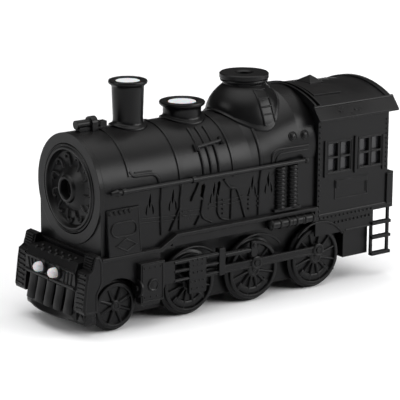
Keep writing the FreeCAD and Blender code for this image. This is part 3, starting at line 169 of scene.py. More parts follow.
# A closed outline filled from low to high; its rims are rounded by moving the corners towards the middle.
def slab(outline, axis, low, high, edge):
    outline = np.asarray(outline, float)
    middle = outline.mean(0)
    reach = np.linalg.norm(outline - middle, axis=1, keepdims=True)
    inset = outline + (middle - outline) * np.minimum(edge / reach, 0.9)
    centre = np.repeat(middle[None], len(outline), 0)
    rows = [(centre, low), (inset, low), (outline, low + edge), (outline, high - edge), (inset, high),
            (centre, high)]
    return gridPart(stacked(rows, axis), False, True)


# A flat ring between an outer and an inner outline with as many corners; the edge rounds its two upper
# rims.
def ringSlab(outer, inner, axis, low, high, edge):
    outer, inner = np.asarray(outer, float), np.asarray(inner, float)
    across = (inner - outer) / np.linalg.norm(inner - outer, axis=1, keepdims=True)
    rows = [(outer, low), (outer, high - edge), (outer + across * edge, high),
            (inner - across * edge, high),
            (inner, high - edge), (inner, low)]
    return gridPart(stacked(rows, axis), True, True)


# A box outline with quarter-round corners, each corner an arc of the given radius.
def roundBox(a0, a1, b0, b1, radius, steps=4):
    radius = min(radius, (a1 - a0) / 2 - 1e-6, (b1 - b0) / 2 - 1e-6)
    arc = np.linspace(0, math.pi / 2, steps)
    corners = []
    for k, (a, b) in enumerate([(a1, b1), (a0, b1), (a0, b0), (a1, b0)]):
        turn = arc + k * math.pi / 2
        inward = [(-1, -1), (1, -1), (1, 1), (-1, 1)][k]
        corners.append(np.stack([a + inward[0] * radius + radius * np.cos(turn),
                                 b + inward[1] * radius + radius * np.sin(turn)], 1))
    return np.concatenate(corners)


# A half-round section: an arch of the given half width and height standing on a flat foot sunk below the
# surface.
def archSection(half, height, sink=0.3, steps=7):
    turn = np.linspace(math.pi, 0, steps)
    top = np.stack([half * np.cos(turn), height * np.sin(turn) ** 0.7], 1)
    return np.concatenate([top, [[half, -sink], [-half, -sink]]])


# A small domed stud: a flattened half ball on a short stem, its height along the axis.
def stud(radius, height, axis, sides=8):
    turn = np.linspace(0, math.pi / 2, 4)
    cap = np.stack([radius * np.sin(turn), height * np.cos(turn)], 1)
    return lathe(np.concatenate([cap, [[radius, -0.4], [0, -0.4]]]), axis, (0, 0, 0), sides)


# Corners that share a place become one, a face keeps only its different corners, and faces with under three
# go.
def cleaned(part):
    points, quads = part
    keys = np.round(points * 2e3).astype(np.int64)
    unique, first, back = np.unique(keys, axis=0, return_index=True, return_inverse=True)
    quads = back.reshape(-1)[quads]
    kept = quads != np.roll(quads, -1, 1)
    counts = kept.sum(1)
    quads, kept, counts = quads[counts > 2], kept[counts > 2], counts[counts > 2]
    return points[first], quads, kept, counts


# Six times the volume that a part's faces close round; below nought its faces look inwards.
def volumeSign(part):
    points, quads = part
    a, b, c, d = (points[quads[:, k]] for k in range(4))
    return np.einsum("ij,ij->i", a, np.cross(b, c)).sum() + np.einsum("ij,ij->i", a, np.cross(c, d)).sum()


# A part whose faces look inwards has each face's corners listed the other way round.
def outward(part):
    points, quads = part
    return part if volumeSign(part) > 0 else (points, quads[:, ::-1])


# Parts made for the left side, turned outwards and doubled to both sides.
def paired(parts):
    return [bothSides(outward(part)) for part in parts]


# One object from its parts, riding on a CAD body; faces that meet above the crease angle stay sharp.
def makePiece(name, parts, body, slotName, replaced=()):
    points, quads, kept, counts = cleaned(joinParts([outward(part) for part in parts]))
    mesh = bpy.data.meshes.new(name)
    mesh.vertices.add(len(points))
    mesh.vertices.foreach_set("co", (points * millimetre).astype(np.float32).ravel())
    loops = quads[kept].astype(np.int32)
    starts = np.concatenate([[0], np.cumsum(counts)[:-1]]).astype(np.int32)
    mesh.loops.add(len(loops))
    mesh.loops.foreach_set("vertex_index", loops)
    mesh.polygons.add(len(starts))
    mesh.polygons.foreach_set("loop_start", starts)
    mesh.polygons.foreach_set("use_smooth", np.ones(len(starts), bool))
    mesh.update(calc_edges=True)
    mesh.validate()
    mesh.set_sharp_from_angle(angle=math.radians(creaseDegrees))
    mesh.materials.append(materials[slotName])
    piece = bpy.data.objects.new(name, mesh)
    bpy.context.scene.collection.objects.link(piece)
    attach(piece, body)
    if replaced:
        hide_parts(*replaced)


# A node group with the given inputs and outputs, returned with its input and output nodes for the caller to
# fill in.
def makeGroup(name, inputs, outputs):
    tree = bpy.data.node_groups.new(name, "ShaderNodeTree")
    for label, kind, start in inputs:
        socket = tree.interface.new_socket(name=label, in_out="INPUT", socket_type=kind)
        if start is not None:
            socket.default_value = start
    for label, kind in outputs:
        tree.interface.new_socket(name=label, in_out="OUTPUT", socket_type=kind)
    return tree, tree.nodes.new("NodeGroupInput"), tree.nodes.new("NodeGroupOutput")


# A node in a tree, with its own settings and the values of its inputs.
def addNode(tree, kind, settings=None, values=None):
    made = tree.nodes.new(kind)
    for key, setting in (settings or {}).items():
        setattr(made, key, setting)
    for key, setting in (values or {}).items():
        made.inputs[key].default_value = setting
    return made


# Fine moulding grain: two noises of different size added, for bump and for a small change of roughness.
def grainGroup():
    tree, entry, leave = makeGroup("fineGrain",
        [("Coarse", "NodeSocketFloat", 900.0), ("Fine", "NodeSocketFloat", 3200.0)],
                                   [("Height", "NodeSocketFloat"), ("Patch", "NodeSocketFloat")])
    place = addNode(tree, "ShaderNodeTexCoord")
    coarse = addNode(tree, "ShaderNodeTexNoise", values={"Detail": 3.0, "Roughness": 0.6})
    fine = addNode(tree, "ShaderNodeTexNoise", values={"Detail": 2.0, "Roughness": 0.5})
    patch = addNode(tree, "ShaderNodeTexNoise", values={"Scale": 38.0, "Detail": 4.0, "Roughness": 0.55})
    total = addNode(tree, "ShaderNodeMath", {"operation": "ADD"})
    for texture, socket in ((coarse, "Coarse"), (fine, "Fine")):
        tree.links.new(place.outputs["Object"], texture.inputs["Vector"])
        tree.links.new(entry.outputs[socket], texture.inputs["Scale"])
    tree.links.new(place.outputs["Object"], patch.inputs["Vector"])
    tree.links.new(coarse.outputs["Fac"], total.inputs[0])
    tree.links.new(fine.outputs["Fac"], total.inputs[1])
    tree.links.new(total.outputs[0], leave.inputs["Height"])
    tree.links.new(patch.outputs["Fac"], leave.inputs["Patch"])
    return tree


# Painted edge highlight: how far the bevelled normal leans from the true one, broken up by noise; where it is
# high the colour is lightened as a painted sheen.
def edgeSheenGroup():
    tree, entry, leave = makeGroup("edgeSheen",
        [("Radius", "NodeSocketFloat", 0.0005), ("Amount", "NodeSocketFloat", 1.0)],
                                   [("Mask", "NodeSocketFloat"), ("Normal", "NodeSocketVector")])
    bevel = addNode(tree, "ShaderNodeBevel", {"samples": 4})
    tree.links.new(entry.outputs["Radius"], bevel.inputs["Radius"])
    true = addNode(tree, "ShaderNodeNewGeometry")
    dot = addNode(tree, "ShaderNodeVectorMath", {"operation": "DOT_PRODUCT"})
    tree.links.new(bevel.outputs["Normal"], dot.inputs[0])
    tree.links.new(true.outputs["Normal"], dot.inputs[1])
    lean = addNode(tree, "ShaderNodeMapRange",
                   values={"From Min": 0.999, "From Max": 0.86, "To Min": 0.0, "To Max": 1.0})
    tree.links.new(dot.outputs["Value"], lean.inputs["Value"])
    place = addNode(tree, "ShaderNodeTexCoord")
    noise = addNode(tree, "ShaderNodeTexNoise", values={"Scale": 260.0, "Detail": 3.0})
    tree.links.new(place.outputs["Object"], noise.inputs["Vector"])
    broken = addNode(tree, "ShaderNodeMapRange",
                     values={"From Min": 0.3, "From Max": 0.62, "To Min": 0.25, "To Max": 1.0})
    tree.links.new(noise.outputs["Fac"], broken.inputs["Value"])
    both = addNode(tree, "ShaderNodeMath", {"operation": "MULTIPLY"})
    scaled = addNode(tree, "ShaderNodeMath", {"operation": "MULTIPLY", "use_clamp": True})
    tree.links.new(lean.outputs["Result"], both.inputs[0])
    tree.links.new(broken.outputs["Result"], both.inputs[1])
    tree.links.new(both.outputs[0], scaled.inputs[0])
    tree.links.new(entry.outputs["Amount"], scaled.inputs[1])
    tree.links.new(scaled.outputs[0], leave.inputs["Mask"])
    tree.links.new(bevel.outputs["Normal"], leave.inputs["Normal"])
    return tree


# Dust: lies where the surface looks up, thicker in cloudy patches and in specks.
def dustGroup():
    tree, entry, leave = makeGroup("dustFilm", [("Amount", "NodeSocketFloat", 0.2)],
                                   [("Mask", "NodeSocketFloat")])
    true = addNode(tree, "ShaderNodeNewGeometry")
    split = addNode(tree, "ShaderNodeSeparateXYZ")
    tree.links.new(true.outputs["Normal"], split.inputs[0])
    up = addNode(tree, "ShaderNodeMapRange", values={"From Min": 0.1, "From Max": 0.95})
    tree.links.new(split.outputs["Z"], up.inputs["Value"])
    place = addNode(tree, "ShaderNodeTexCoord")
    cloud = addNode(tree, "ShaderNodeTexNoise", values={"Scale": 55.0, "Detail": 5.0, "Roughness": 0.65})
    speck = addNode(tree, "ShaderNodeTexVoronoi", values={"Scale": 620.0})
    tree.links.new(place.outputs["Object"], cloud.inputs["Vector"])
    tree.links.new(place.outputs["Object"], speck.inputs["Vector"])
    near = addNode(tree, "ShaderNodeMapRange",
                   values={"From Min": 0.16, "From Max": 0.05, "To Min": 0.0, "To Max": 0.5})
    tree.links.new(speck.outputs["Distance"], near.inputs["Value"])
    total = addNode(tree, "ShaderNodeMath", {"operation": "ADD"})
    tree.links.new(cloud.outputs["Fac"], total.inputs[0])
    tree.links.new(near.outputs["Result"], total.inputs[1])
    film = addNode(tree, "ShaderNodeMath", {"operation": "MULTIPLY"})
    tree.links.new(total.outputs[0], film.inputs[0])
    tree.links.new(up.outputs["Result"], film.inputs[1])
    scaled = addNode(tree, "ShaderNodeMath", {"operation": "MULTIPLY", "use_clamp": True})
    tree.links.new(film.outputs[0], scaled.inputs[0])
    tree.links.new(entry.outputs["Amount"], scaled.inputs[1])
    tree.links.new(scaled.outputs[0], leave.inputs["Mask"])
    return tree


groups = {"grain": grainGroup(), "edge": edgeSheenGroup(), "dust": dustGroup()}

# What every finish shares: bending of light, swing of the roughness, fine grain, a painted highlight along
# the edges and the dust.
finish = {"ior": 1.46, "vary": 0.05, "grainFine": 3200.0, "edgeRadius": 0.00045, "edgeSheen": 0.5,
          "dustColour": (0.20, 0.19, 0.18), "grainDepth": 0.0001, "underDepth": 0.002}


# A moulded or metal finish: colour lightened along the edges by a painted highlight and by dust, roughness
# varied by cloudy patches, bump from the grain.
def surfaceMaterial(name, look):
    material = bpy.data.materials.new(name)
    material.use_nodes = True
    tree = material.node_tree
    shader = tree.nodes["Principled BSDF"]
    shader.inputs["Metallic"].default_value = look.get("metallic", 0.0)
    shader.inputs["IOR"].default_value = finish["ior"]
    shader.inputs["Specular IOR Level"].default_value = look.get("specular", 0.5)
    grain = addNode(tree, "ShaderNodeGroup", {"node_tree": groups["grain"]},
                    {"Coarse": look.get("grainCoarse", 900.0), "Fine": finish["grainFine"]})
    # The edge mask paints a highlight: the colour is mixed towards a lighter edge colour to stand in for
    # light caught on the edges.
    edge = addNode(tree, "ShaderNodeGroup", {"node_tree": groups["edge"]},
                   {"Radius": finish["edgeRadius"], "Amount": finish["edgeSheen"]})
    dust = addNode(tree, "ShaderNodeGroup", {"node_tree": groups["dust"]},
                   {"Amount": look.get("dust", 0.15)})
    sheened = addNode(tree, "ShaderNodeMix", {"data_type": "RGBA"})
    sheened.inputs[6].default_value = (*look["colour"], 1)
    sheened.inputs[7].default_value = (*look["edgeSheenColour"], 1)
    tree.links.new(edge.outputs["Mask"], sheened.inputs[0])
    dusty = addNode(tree, "ShaderNodeMix", {"data_type": "RGBA"})
    dusty.inputs[7].default_value = (*finish["dustColour"], 1)
    tree.links.new(sheened.outputs[2], dusty.inputs[6])
    tree.links.new(dust.outputs["Mask"], dusty.inputs[0])
    tree.links.new(dusty.outputs[2], shader.inputs["Base Color"])
    rough = addNode(tree, "ShaderNodeMapRange", values={
        "From Min": 0.3, "From Max": 0.7, "To Min": look["roughness"] - finish["vary"],
        "To Max": look["roughness"] + finish["vary"]})
    tree.links.new(grain.outputs["Patch"], rough.inputs["Value"])
    tree.links.new(rough.outputs["Result"], shader.inputs["Roughness"])
    bump = addNode(tree, "ShaderNodeBump",
                   values={"Strength": look["bump"], "Distance": finish["grainDepth"]})
    tree.links.new(grain.outputs["Height"], bump.inputs["Height"])
    tree.links.new(edge.outputs["Normal"], bump.inputs["Normal"])
    tree.links.new(bump.outputs["Normal"], shader.inputs["Normal"])
    if "under" in look:
        shader.inputs["Subsurface Weight"].default_value = look["under"]
        shader.inputs["Subsurface Scale"].default_value = finish["underDepth"]
    return material


# Each look's edge colour is a painted highlight: a lighter colour laid along the edges to stand in for light
# caught there.
looks = {
    "body_black": {"colour": (0.0028, 0.0028, 0.0031), "roughness": 0.32, "specular": 0.19,
                   "edgeSheenColour": (0.02, 0.02, 0.021), "dust": 0.05, "bump": 0.22},
    "chassis_black": {"colour": (0.0026, 0.0026, 0.0029), "roughness": 0.36, "specular": 0.2,
                      "edgeSheenColour": (0.02, 0.02, 0.021), "dust": 0.06, "bump": 0.28},
    "wheel_black": {"colour": (0.0028, 0.0028, 0.0031), "roughness": 0.33, "specular": 0.2,
                    "edgeSheenColour": (0.02, 0.02, 0.021), "dust": 0.05, "bump": 0.24},
    "button_white": {"colour": (0.74, 0.75, 0.77), "roughness": 0.32, "edgeSheenColour": (0.8, 0.8, 0.8),
                     "dust": 0.04, "under": 0.25,
                     "bump": 0.08},
    "lamp_clear": {"colour": (0.62, 0.62, 0.63), "roughness": 0.3, "edgeSheenColour": (0.7, 0.7, 0.7),
                   "dust": 0.05, "under": 0.4,
                   "bump": 0.1},
    "pane_black": {"colour": (0.012, 0.012, 0.014), "roughness": 0.24, "edgeSheenColour": (0.04, 0.04, 0.042),
                   "dust": 0.06, "bump": 0.06},
    "steel": {"colour": (0.55, 0.55, 0.56), "roughness": 0.34, "metallic": 1.0,
              "edgeSheenColour": (0.7, 0.7, 0.7), "dust": 0.08,
              "grainCoarse": 1800.0, "bump": 0.18},
    "tank_clear": {"colour": (0.62, 0.64, 0.66), "roughness": 0.4, "edgeSheenColour": (0.7, 0.7, 0.72),
                   "dust": 0.05, "bump": 0.1},
    "seal_rubber": {"colour": (0.26, 0.26, 0.26), "roughness": 0.7, "edgeSheenColour": (0.3, 0.3, 0.3),
                    "dust": 0.12, "bump": 0.3},
    "piezo_brass": {"colour": (0.72, 0.56, 0.28), "roughness": 0.3, "metallic": 1.0,
                    "edgeSheenColour": (0.8, 0.65, 0.35), "bump": 0.12},
    "board_green": {"colour": (0.03, 0.17, 0.07), "roughness": 0.45, "edgeSheenColour": (0.1, 0.22, 0.1),
                    "dust": 0.1, "bump": 0.3},
    "fan_black": {"colour": (0.02, 0.02, 0.021), "roughness": 0.5, "edgeSheenColour": (0.05, 0.05, 0.05),
                  "dust": 0.15, "bump": 0.2},
    "flame_amber": {"colour": (0.016, 0.012, 0.009), "roughness": 0.5, "edgeSheenColour": (0.03, 0.02, 0.015),
                    "dust": 0.0, "bump": 0.2},
    "socket_black": {"colour": (0.02, 0.02, 0.021), "roughness": 0.35, "edgeSheenColour": (0.05, 0.05, 0.05),
                     "dust": 0.1, "bump": 0.15},
}
materials = {name: surfaceMaterial(name, look) for name, look in looks.items()}
slotOf = {row["node"]: row["material_slot"] for row in frame["record"]["subparts"]}
for name, node in nodes.items():
    node.data.materials.clear()
    node.data.materials.append(materials[slotOf[name]])
print("materials made:", len(materials))

# The boiler's skin: radius, flat half width, axis height low and high, and where the axis rises.
boiler = {"radius": 33.6, "half": 32.6, "axis": 83.4, "highAxis": 94.0, "slopeStart": -8.0,
          "slopeEnd": -45.0}


# Height of the boiler's axis along the engine: level, then a straight rise, then level again.
def axisAt(x):
    return np.interp(-np.asarray(x, float), [-boiler["slopeStart"], -boiler["slopeEnd"]],
                     [boiler["axis"], boiler["highAxis"]])


# Half width of the boiler on its flank: a circle about the axis, never narrower than the flat flank below
# it.
def skinY(x, z):
    drop = np.asarray(z, float) - axisAt(x)
    curved = np.sqrt(np.clip(boiler["radius"] ** 2 - drop ** 2, 0, None))
    return np.where(drop > 0, curved, np.maximum(curved, boiler["half"]))


# Height of the boiler's top over a place in plan: the axis height plus the circle's height there.
def skinZ(x, y):
    return axisAt(x) + np.sqrt(np.clip(boiler["radius"] ** 2 - np.asarray(y, float) ** 2, 0, None))


# A raised bar along corners given by x and z, laid on the skin with its back along the skin's own normal.
def skinBar(corners, half, height, softness=1):
    corners = np.asarray(corners, float)
    length = np.linalg.norm(np.diff(corners, axis=0), axis=1).sum()
    flat = softPath(corners, max(8, int(length / 1.1)), softness)
    y = skinY(flat[:, 0], flat[:, 1])
    drop = flat[:, 1] - axisAt(flat[:, 0])
    normals = np.stack([0 * y, y, np.maximum(drop, 0)], 1)
    normals /= np.linalg.norm(normals, axis=1, keepdims=True)
    return sweep(np.stack([flat[:, 0], y, flat[:, 1]], 1), normals, archSection(half, height))


# A raised bar on a flat side at a given y, or at the y that lean gives for a height; corners are x and z.
def flatBar(corners, y, half, height, closed=False, lean=None):
    corners = np.asarray(corners, float)
    level = np.full(len(corners), float(y)) if lean is None else lean(corners[:, 1])
    normals = np.tile([0.0, 1.0, 0.0], (len(corners), 1))
    return sweep(np.stack([corners[:, 0], level, corners[:, 1]], 1), normals, archSection(half, height),
                 closed)


# Evenly spaced studs from one place to another on a flat side.
def studRow(start, end, count, y, radius, height):
    t = np.linspace(0, 1, count)[:, None]
    spots = np.asarray(start) * (1 - t) + np.asarray(end) * t
    return moved(stud(radius, height, 1), np.stack([spots[:, 0], np.full(count, y), spots[:, 1]], 1))


# Pipes on the boiler. Each run has its corners as x and z, its half width, its height and how soft its
# bends are.
pipeValues = {
    "runs": [([(82.3, 96.5), (80.8, 93.6), (64.9, 93.2), (62.4, 90.6), (62.2, 87.0)], 0.95, 1.1, 2),
             ([(78.6, 95.6), (66.2, 95.2)], 0.5, 0.6, 1),
             ([(31.0, 103.2), (11.0, 104.9)], 1.25, 1.9, 1),
             ([(-52.0, 95.4), (-27.4, 95.4), (-23.4, 93.0), (-22.8, 85.0)], 0.8, 0.9, 2),
             ([(-52.0, 92.6), (-29.4, 92.6), (-26.4, 90.6), (-26.0, 85.6)], 0.55, 0.6, 2),
             ([(-14.6, 108.6), (-14.6, 85.6)], 1.15, 0.75, 1)],
    "uprights": (29.0, 23.2, 17.4), "uprightTop": 112.8, "uprightLow": 88.0, "half": 0.95, "height": 1.1,
    "clips": [(31.0, 103.2), (11.0, 104.9)], "clipReach": 1.9, "clipHalf": 1.3, "clipHeight": 2.4,
}
pipes = [skinBar(*run) for run in pipeValues["runs"]]
for x in pipeValues["uprights"]:
    ends = [(x, pipeValues["uprightTop"]), (x, pipeValues["uprightLow"])]
    pipes.append(skinBar(ends, pipeValues["half"], pipeValues["height"]))
for x, z in pipeValues["clips"]:
    ends = [(x, z - pipeValues["clipReach"]), (x, z + pipeValues["clipReach"])]
    pipes.append(skinBar(ends, pipeValues["clipHalf"], pipeValues["clipHeight"]))
makePiece("boiler_pipes", paired(pipes), "engine", "body_black")

# Two big studs in rings high on the firebox, each turned to stand square on the skin.
studValues = {"spots": ((-40.4, 102.0), (-49.5, 102.0)), "sides": 24,
              "cap": [(0, 1.3), (1.6, 1.15), (2.3, 0.6), (2.5, -0.6), (0, -0.6)],
              "ring": [(2.5, -0.6), (3.2, -0.6), (3.2, 0.2), (2.9, 0.45), (2.5, 0.3)]}
knob = joinParts([lathe(studValues["cap"], 1, (0, 0, 0), studValues["sides"]),
                  lathe(studValues["ring"], 1, (0, 0, 0), studValues["sides"], True)])
studs = []
for x, z in studValues["spots"]:
    y, drop = float(skinY(x, z)), float(z - axisAt(x))
    studs.append(moved(turned(knob, 0, (0, 0, 0), math.atan2(drop, y)), (x, y, z)))
makePiece("firebox_studs", paired(studs), "engine", "body_black")

# Ribbed columns under the dome, standing on a sill given as x from and to, z from and to and corner radius.
columnValues = {"spots": (-30.2, -40.1), "y": 32.7, "low": 57.2, "high": 84.4, "radius": 2.9, "swell": 0.75,
                "pitch": 2.5, "rows": 110, "sides": 20, "sill": (-46.0, -24.6, 56.0, 57.8, 0.4)}


# A ribbed column: the radius rises and falls as a rounded wave of the height.
def ribColumn(x):
    z = np.linspace(columnValues["low"], columnValues["high"], columnValues["rows"])
    wave = np.abs(np.sin((z - columnValues["low"]) * math.pi / columnValues["pitch"])) ** 0.6
    radius = columnValues["radius"] + columnValues["swell"] * wave
    profile = np.concatenate([[[0, z[0]]], np.stack([radius, z], 1), [[0, z[-1]]]])
    return lathe(profile, 2, (x, columnValues["y"], 0), columnValues["sides"])


columns = [ribColumn(x) for x in columnValues["spots"]]
columns.append(slab(roundBox(*columnValues["sill"]), 1, 32.0, 35.2, 0.3))
makePiece("rib_columns", paired(columns), "engine", "body_black")

# Relief on the flank: bars round the flame slots, fine double lines, and short rows of dots with their
# count.
reliefValues = {
    "half": 0.7, "height": 1.25, "fineHalf": 0.4, "fineHeight": 0.55, "dotRadius": 0.8, "dotHeight": 0.95,
    "bars": [[(60.9, 84.2), (60.2, 55.0)], [(46.2, 84.6), (46.8, 56.4)], [(46.8, 69.5), (53.9, 56.2)],
             [(33.2, 83.6), (38.0, 72.4)],
             [(29.4, 72.1), (30.8, 64.2), (29.0, 60.4), (23.2, 57.4)], [(31.6, 62.6), (35.2, 57.0)],
             [(18.0, 71.6), (18.0, 62.2), (15.8, 58.2), (10.0, 56.8)],
             [(14.0, 82.6), (9.7, 77.4), (3.6, 75.6), (0.6, 67.7), (-2.9, 56.4)],
             [(7.4, 75.2), (7.9, 56.8)], [(-14.4, 84.6), (-13.4, 56.2)]],
    "fine": [[(76.0, 67.2), (46.8, 65.2)], [(76.0, 64.6), (46.8, 62.8)], [(44.4, 67.0), (31.6, 66.3)],
             [(44.4, 64.4), (31.6, 63.7)],
             [(25.0, 68.6), (-2.0, 69.8)], [(25.0, 66.0), (-1.0, 67.2)]],
    "dots": [((14.1, 69.6), (14.1, 61.2), 4), ((-5.8, 69.8), (-5.8, 61.2), 4),
             ((-12.6, 68.0), (-12.6, 62.0), 3),
             ((60.5, 68.8), (60.2, 61.6), 3)],
}
relief = [skinBar(bar, reliefValues["half"], reliefValues["height"], 1) for bar in reliefValues["bars"]]
relief += [skinBar(bar, reliefValues["fineHalf"], reliefValues["fineHeight"],
                   0) for bar in reliefValues["fine"]]
relief += [studRow(start, end, count, boiler["half"], reliefValues["dotRadius"], reliefValues["dotHeight"])
           for start, end, count in reliefValues["dots"]]
makePiece("flank_relief", paired(relief), "engine", "body_black")

# Side panels: they lean in from foot to top and carry a long ring, a diamond and notches.
panelValues = {"topY": 33.4, "footY": 36.0, "top": 75.8, "foot": 47.8,
               "notches": (97.6, 94.1, 90.6, 87.1, 83.6),
               "diamond": [(94.2, 54.0), (87.3, 57.6), (80.2, 53.6), (87.2, 50.4)],
               "stadium": (79.4, 97.3, 59.4, 67.8, 4.1, 8), "half": 0.55, "height": 0.7,
               "border": [(77.2, 48.6), (77.2, 75.2), (99.2, 75.2), (99.2, 48.6)]}


# How far out the leaning panel is at a height: a straight line from its foot to its top.
def panelY(z):
    share = (np.asarray(z, float) - panelValues["foot"]) / (panelValues["top"] - panelValues["foot"])
    return panelValues["footY"] + (panelValues["topY"] - panelValues["footY"]) * share


outlines = (roundBox(*panelValues["stadium"]), panelValues["diamond"])
dressing = [flatBar(outline, 0, panelValues["half"], panelValues["height"], closed=True, lean=panelY)
            for outline in outlines]
for x in panelValues["notches"]:
    dressing.append(flatBar([(x + 0.5, 75.3), (x + 0.3, 74.2), (x - 0.5, 72.9)], 0, 0.85, 1.0, lean=panelY))
dressing.append(flatBar(panelValues["border"], 0, 0.35, 0.25, closed=True, lean=panelY))
makePiece("panel_dressing", paired(dressing), "engine", "body_black")

# The front door: curled hooks round a turned dish; its profile is radius and place along the axis.
doorValues = {"z": boiler["axis"], "blades": 11, "turn": 0.12}
doorProfile = [(0, 100.7), (27.1, 100.7), (27.1, 104.3), (26.8, 104.8), (26.3, 104.9), (25.9, 104.3),
               (25.4, 104.3), (24.9, 105.0),
               (24.2, 105.2), (23.6, 105.0), (23.2, 104.2), (22.9, 102.6), (22.2, 101.8), (14.6, 101.8),
               (13.8, 102.4),
               (9.6, 104.6), (8.7, 105.0), (8.4, 105.6), (8.0, 106.5), (7.3, 106.9), (6.5, 106.9),
               (5.9, 106.3), (5.6, 101.4), (0, 101.4)]


# One curled hook on the door: it runs out along a radius and then curls round to one side, thickest in the
# middle.
def doorHook():
    radius = np.array([13.4, 15.2, 17.0, 18.8, 20.2, 20.9, 20.7, 19.6, 18.4])
    angle = np.radians([5, 5, 4.6, 3.4, 0.4, -4, -8.6, -11.4, -10])
    path = np.stack([np.full(9, 101.7), radius * np.sin(angle), doorValues["z"] + radius * np.cos(angle)],
                    1)
    normals = np.tile([1.0, 0.0, 0.0], (9, 1))
    return sweep(path, normals, archSection(0.8, 1.5))


hookAngles = np.arange(doorValues["blades"]) * fullTurn / doorValues["blades"] + doorValues["turn"]
hooks = turned(doorHook(), 0, (0, 0, doorValues["z"]), hookAngles)
makePiece("door_face", [lathe(doorProfile, 0, (0, 0, doorValues["z"]), 96), hooks], "engine", "body_black",
          replaced=["smokebox_door"])


# An upright turned form whose lower rows follow the boiler: each row has a radius, a height and a share,
# and the share moves its height from its own value to the boiler's top under it plus that value.
def saddleLathe(rows, x, sides):
    rows = np.asarray(rows, float)
    angle = np.linspace(0, fullTurn, sides, endpoint=False)
    share = rows[:, 2:3]
    px, py = x + rows[:, :1] * np.cos(angle), rows[:, :1] * np.sin(angle)
    pz = rows[:, 1:2] * (1 - share) + (skinZ(px, py) + rows[:, 1:2]) * share
    return gridPart(np.stack([px, py, pz], -1), True, True)


# Where the chimney and the collar stand; each row below is radius, height and share.
funnelValues = {"chimneyX": 61.4, "collarX": 21.1, "chimneySides": 72, "collarSides": 80}
chimneyRows = [(7.7, 131.2, 0), (7.7, 143.4, 0), (8.3, 144.3, 0), (9.4, 144.5, 0), (10.9, 144.5, 0),
               (11.6, 144.2, 0), (11.9, 143.6, 0),
               (11.9, 142.9, 0), (11.5, 142.2, 0), (10.5, 141.6, 0), (9.9, 140.8, 0), (9.8, 139.6, 0),
               (9.2, 122.0, 0),
               (9.2, 3.4, 1), (9.4, 2.4, 1), (10.1, 1.8, 1), (11.2, 1.5, 1), (11.7, 1.1, 1),
               (11.8, 0.4, 1), (11.6, -0.4, 1), (8.4, -0.4, 1)]
makePiece("chimney_pipe", [saddleLathe(chimneyRows, funnelValues["chimneyX"],
    funnelValues["chimneySides"])], "engine", "body_black", replaced=["chimney"])
collarRows = [(9.0, 118.6, 0), (9.0, 125.6, 0), (9.6, 126.4, 0), (10.6, 126.9, 0), (13.0, 126.9, 0),
              (13.8, 126.6, 0), (14.2, 125.9, 0),
              (14.1, 125.1, 0), (13.5, 124.3, 0), (12.3, 123.6, 0), (11.9, 122.9, 0), (11.8, 121.8, 0),
              (11.8, 3.0, 1), (12.0, 2.1, 1), (12.6, 1.6, 1),
              (13.6, 1.4, 1), (14.1, 1.0, 1), (14.2, 0.3, 1), (14.0, -0.4, 1), (9.6, -0.4, 1)]
makePiece("collar_pipe", [saddleLathe(collarRows, funnelValues["collarX"], funnelValues["collarSides"])],
          "engine", "body_black", replaced=["button_collar"])

# The dome: its place, how much its foot is drawn out sideways, the search for its foot, its wall and its
# strap.
domeValues = {"x": -26.7, "oval": 0.09, "ovalTop": 119.0, "ovalFade": 8.0, "columns": 120,
              "footRadius": 24.6,
              "footHeight": 110.0, "footRounds": 14, "footLift": 1.6, "wall": 1.8, "strapHalf": 4.6,
              "strapProud": 0.8, "bars": ((15.6, 130.2), (19.8, 125.6), (22.6, 120.8), (24.2, 116.2)),
              "barReach": 3.9}
domeBody = np.array([(13.0, 135.4), (14.7, 135.3), (15.0, 134.9), (15.0, 134.2), (14.6, 133.7),
                     (13.5, 133.3), (13.2, 132.4), (13.8, 131.6),
                     (15.4, 130.2), (17.7, 127.9), (19.9, 125.4), (21.6, 122.8), (22.8, 120.2),
                     (23.6, 117.8), (24.1, 115.4),
                     (24.5, 112.0), (24.6, 106.0)])
domeInside = np.array([(22.6, 106.0), (22.4, 113.0), (21.2, 118.0), (18.8, 122.4), (14.8, 128.0),
                       (11.4, 131.6), (11.3, 135.3)])
domeFlange = ((0.0, 1.9), (0.3, 1.35), (1.1, 1.25), (1.4, 0.9), (1.4, 0.0), (-1.8, 0.0))


# A place on the dome in plan: the circle is drawn out sideways, more so the lower it is.
def domePlan(radius, z, angle):
    drawn = domeValues["oval"] * np.clip((domeValues["ovalTop"] - z) / domeValues["ovalFade"], 0, 1)
    x = domeValues["x"] + radius * (1 - 0.4 * drawn) * np.cos(angle)
    return x, radius * (1 + drawn) * np.sin(angle)


# The dome: its profile runs down to where it meets the boiler, found by stepping between the two, then a
# thin flange lies on the boiler, then the inner wall runs back up.
def domeGrid():
    angle = np.linspace(0, fullTurn, domeValues["columns"], endpoint=False)
    footR, footZ = 0 * angle + domeValues["footRadius"], 0 * angle + domeValues["footHeight"]
    for _ in range(domeValues["footRounds"]):
        footZ = 0.5 * footZ + 0.5 * (skinZ(*domePlan(footR, footZ, angle)) + domeValues["footLift"])
        footR = np.interp(footZ, domeBody[::-1, 1], domeBody[::-1, 0])
    rows = []
    for radius, z in domeBody:
        keep = np.maximum(z, footZ)
        rows.append((*domePlan(np.minimum(radius, footR), keep, angle), keep))
    for out, rise in domeFlange:
        x, y = domePlan(footR + out, footZ, angle)
        rows.append((x, y, skinZ(x, y) + rise))
    for radius, z in domeInside:
        keep = np.maximum(z, footZ)
        rows.append((*domePlan(np.minimum(radius, footR - domeValues["wall"]), keep, angle), keep))
    return gridPart(np.stack([np.stack(row, -1) for row in rows]), True, True)


dome = domeGrid()

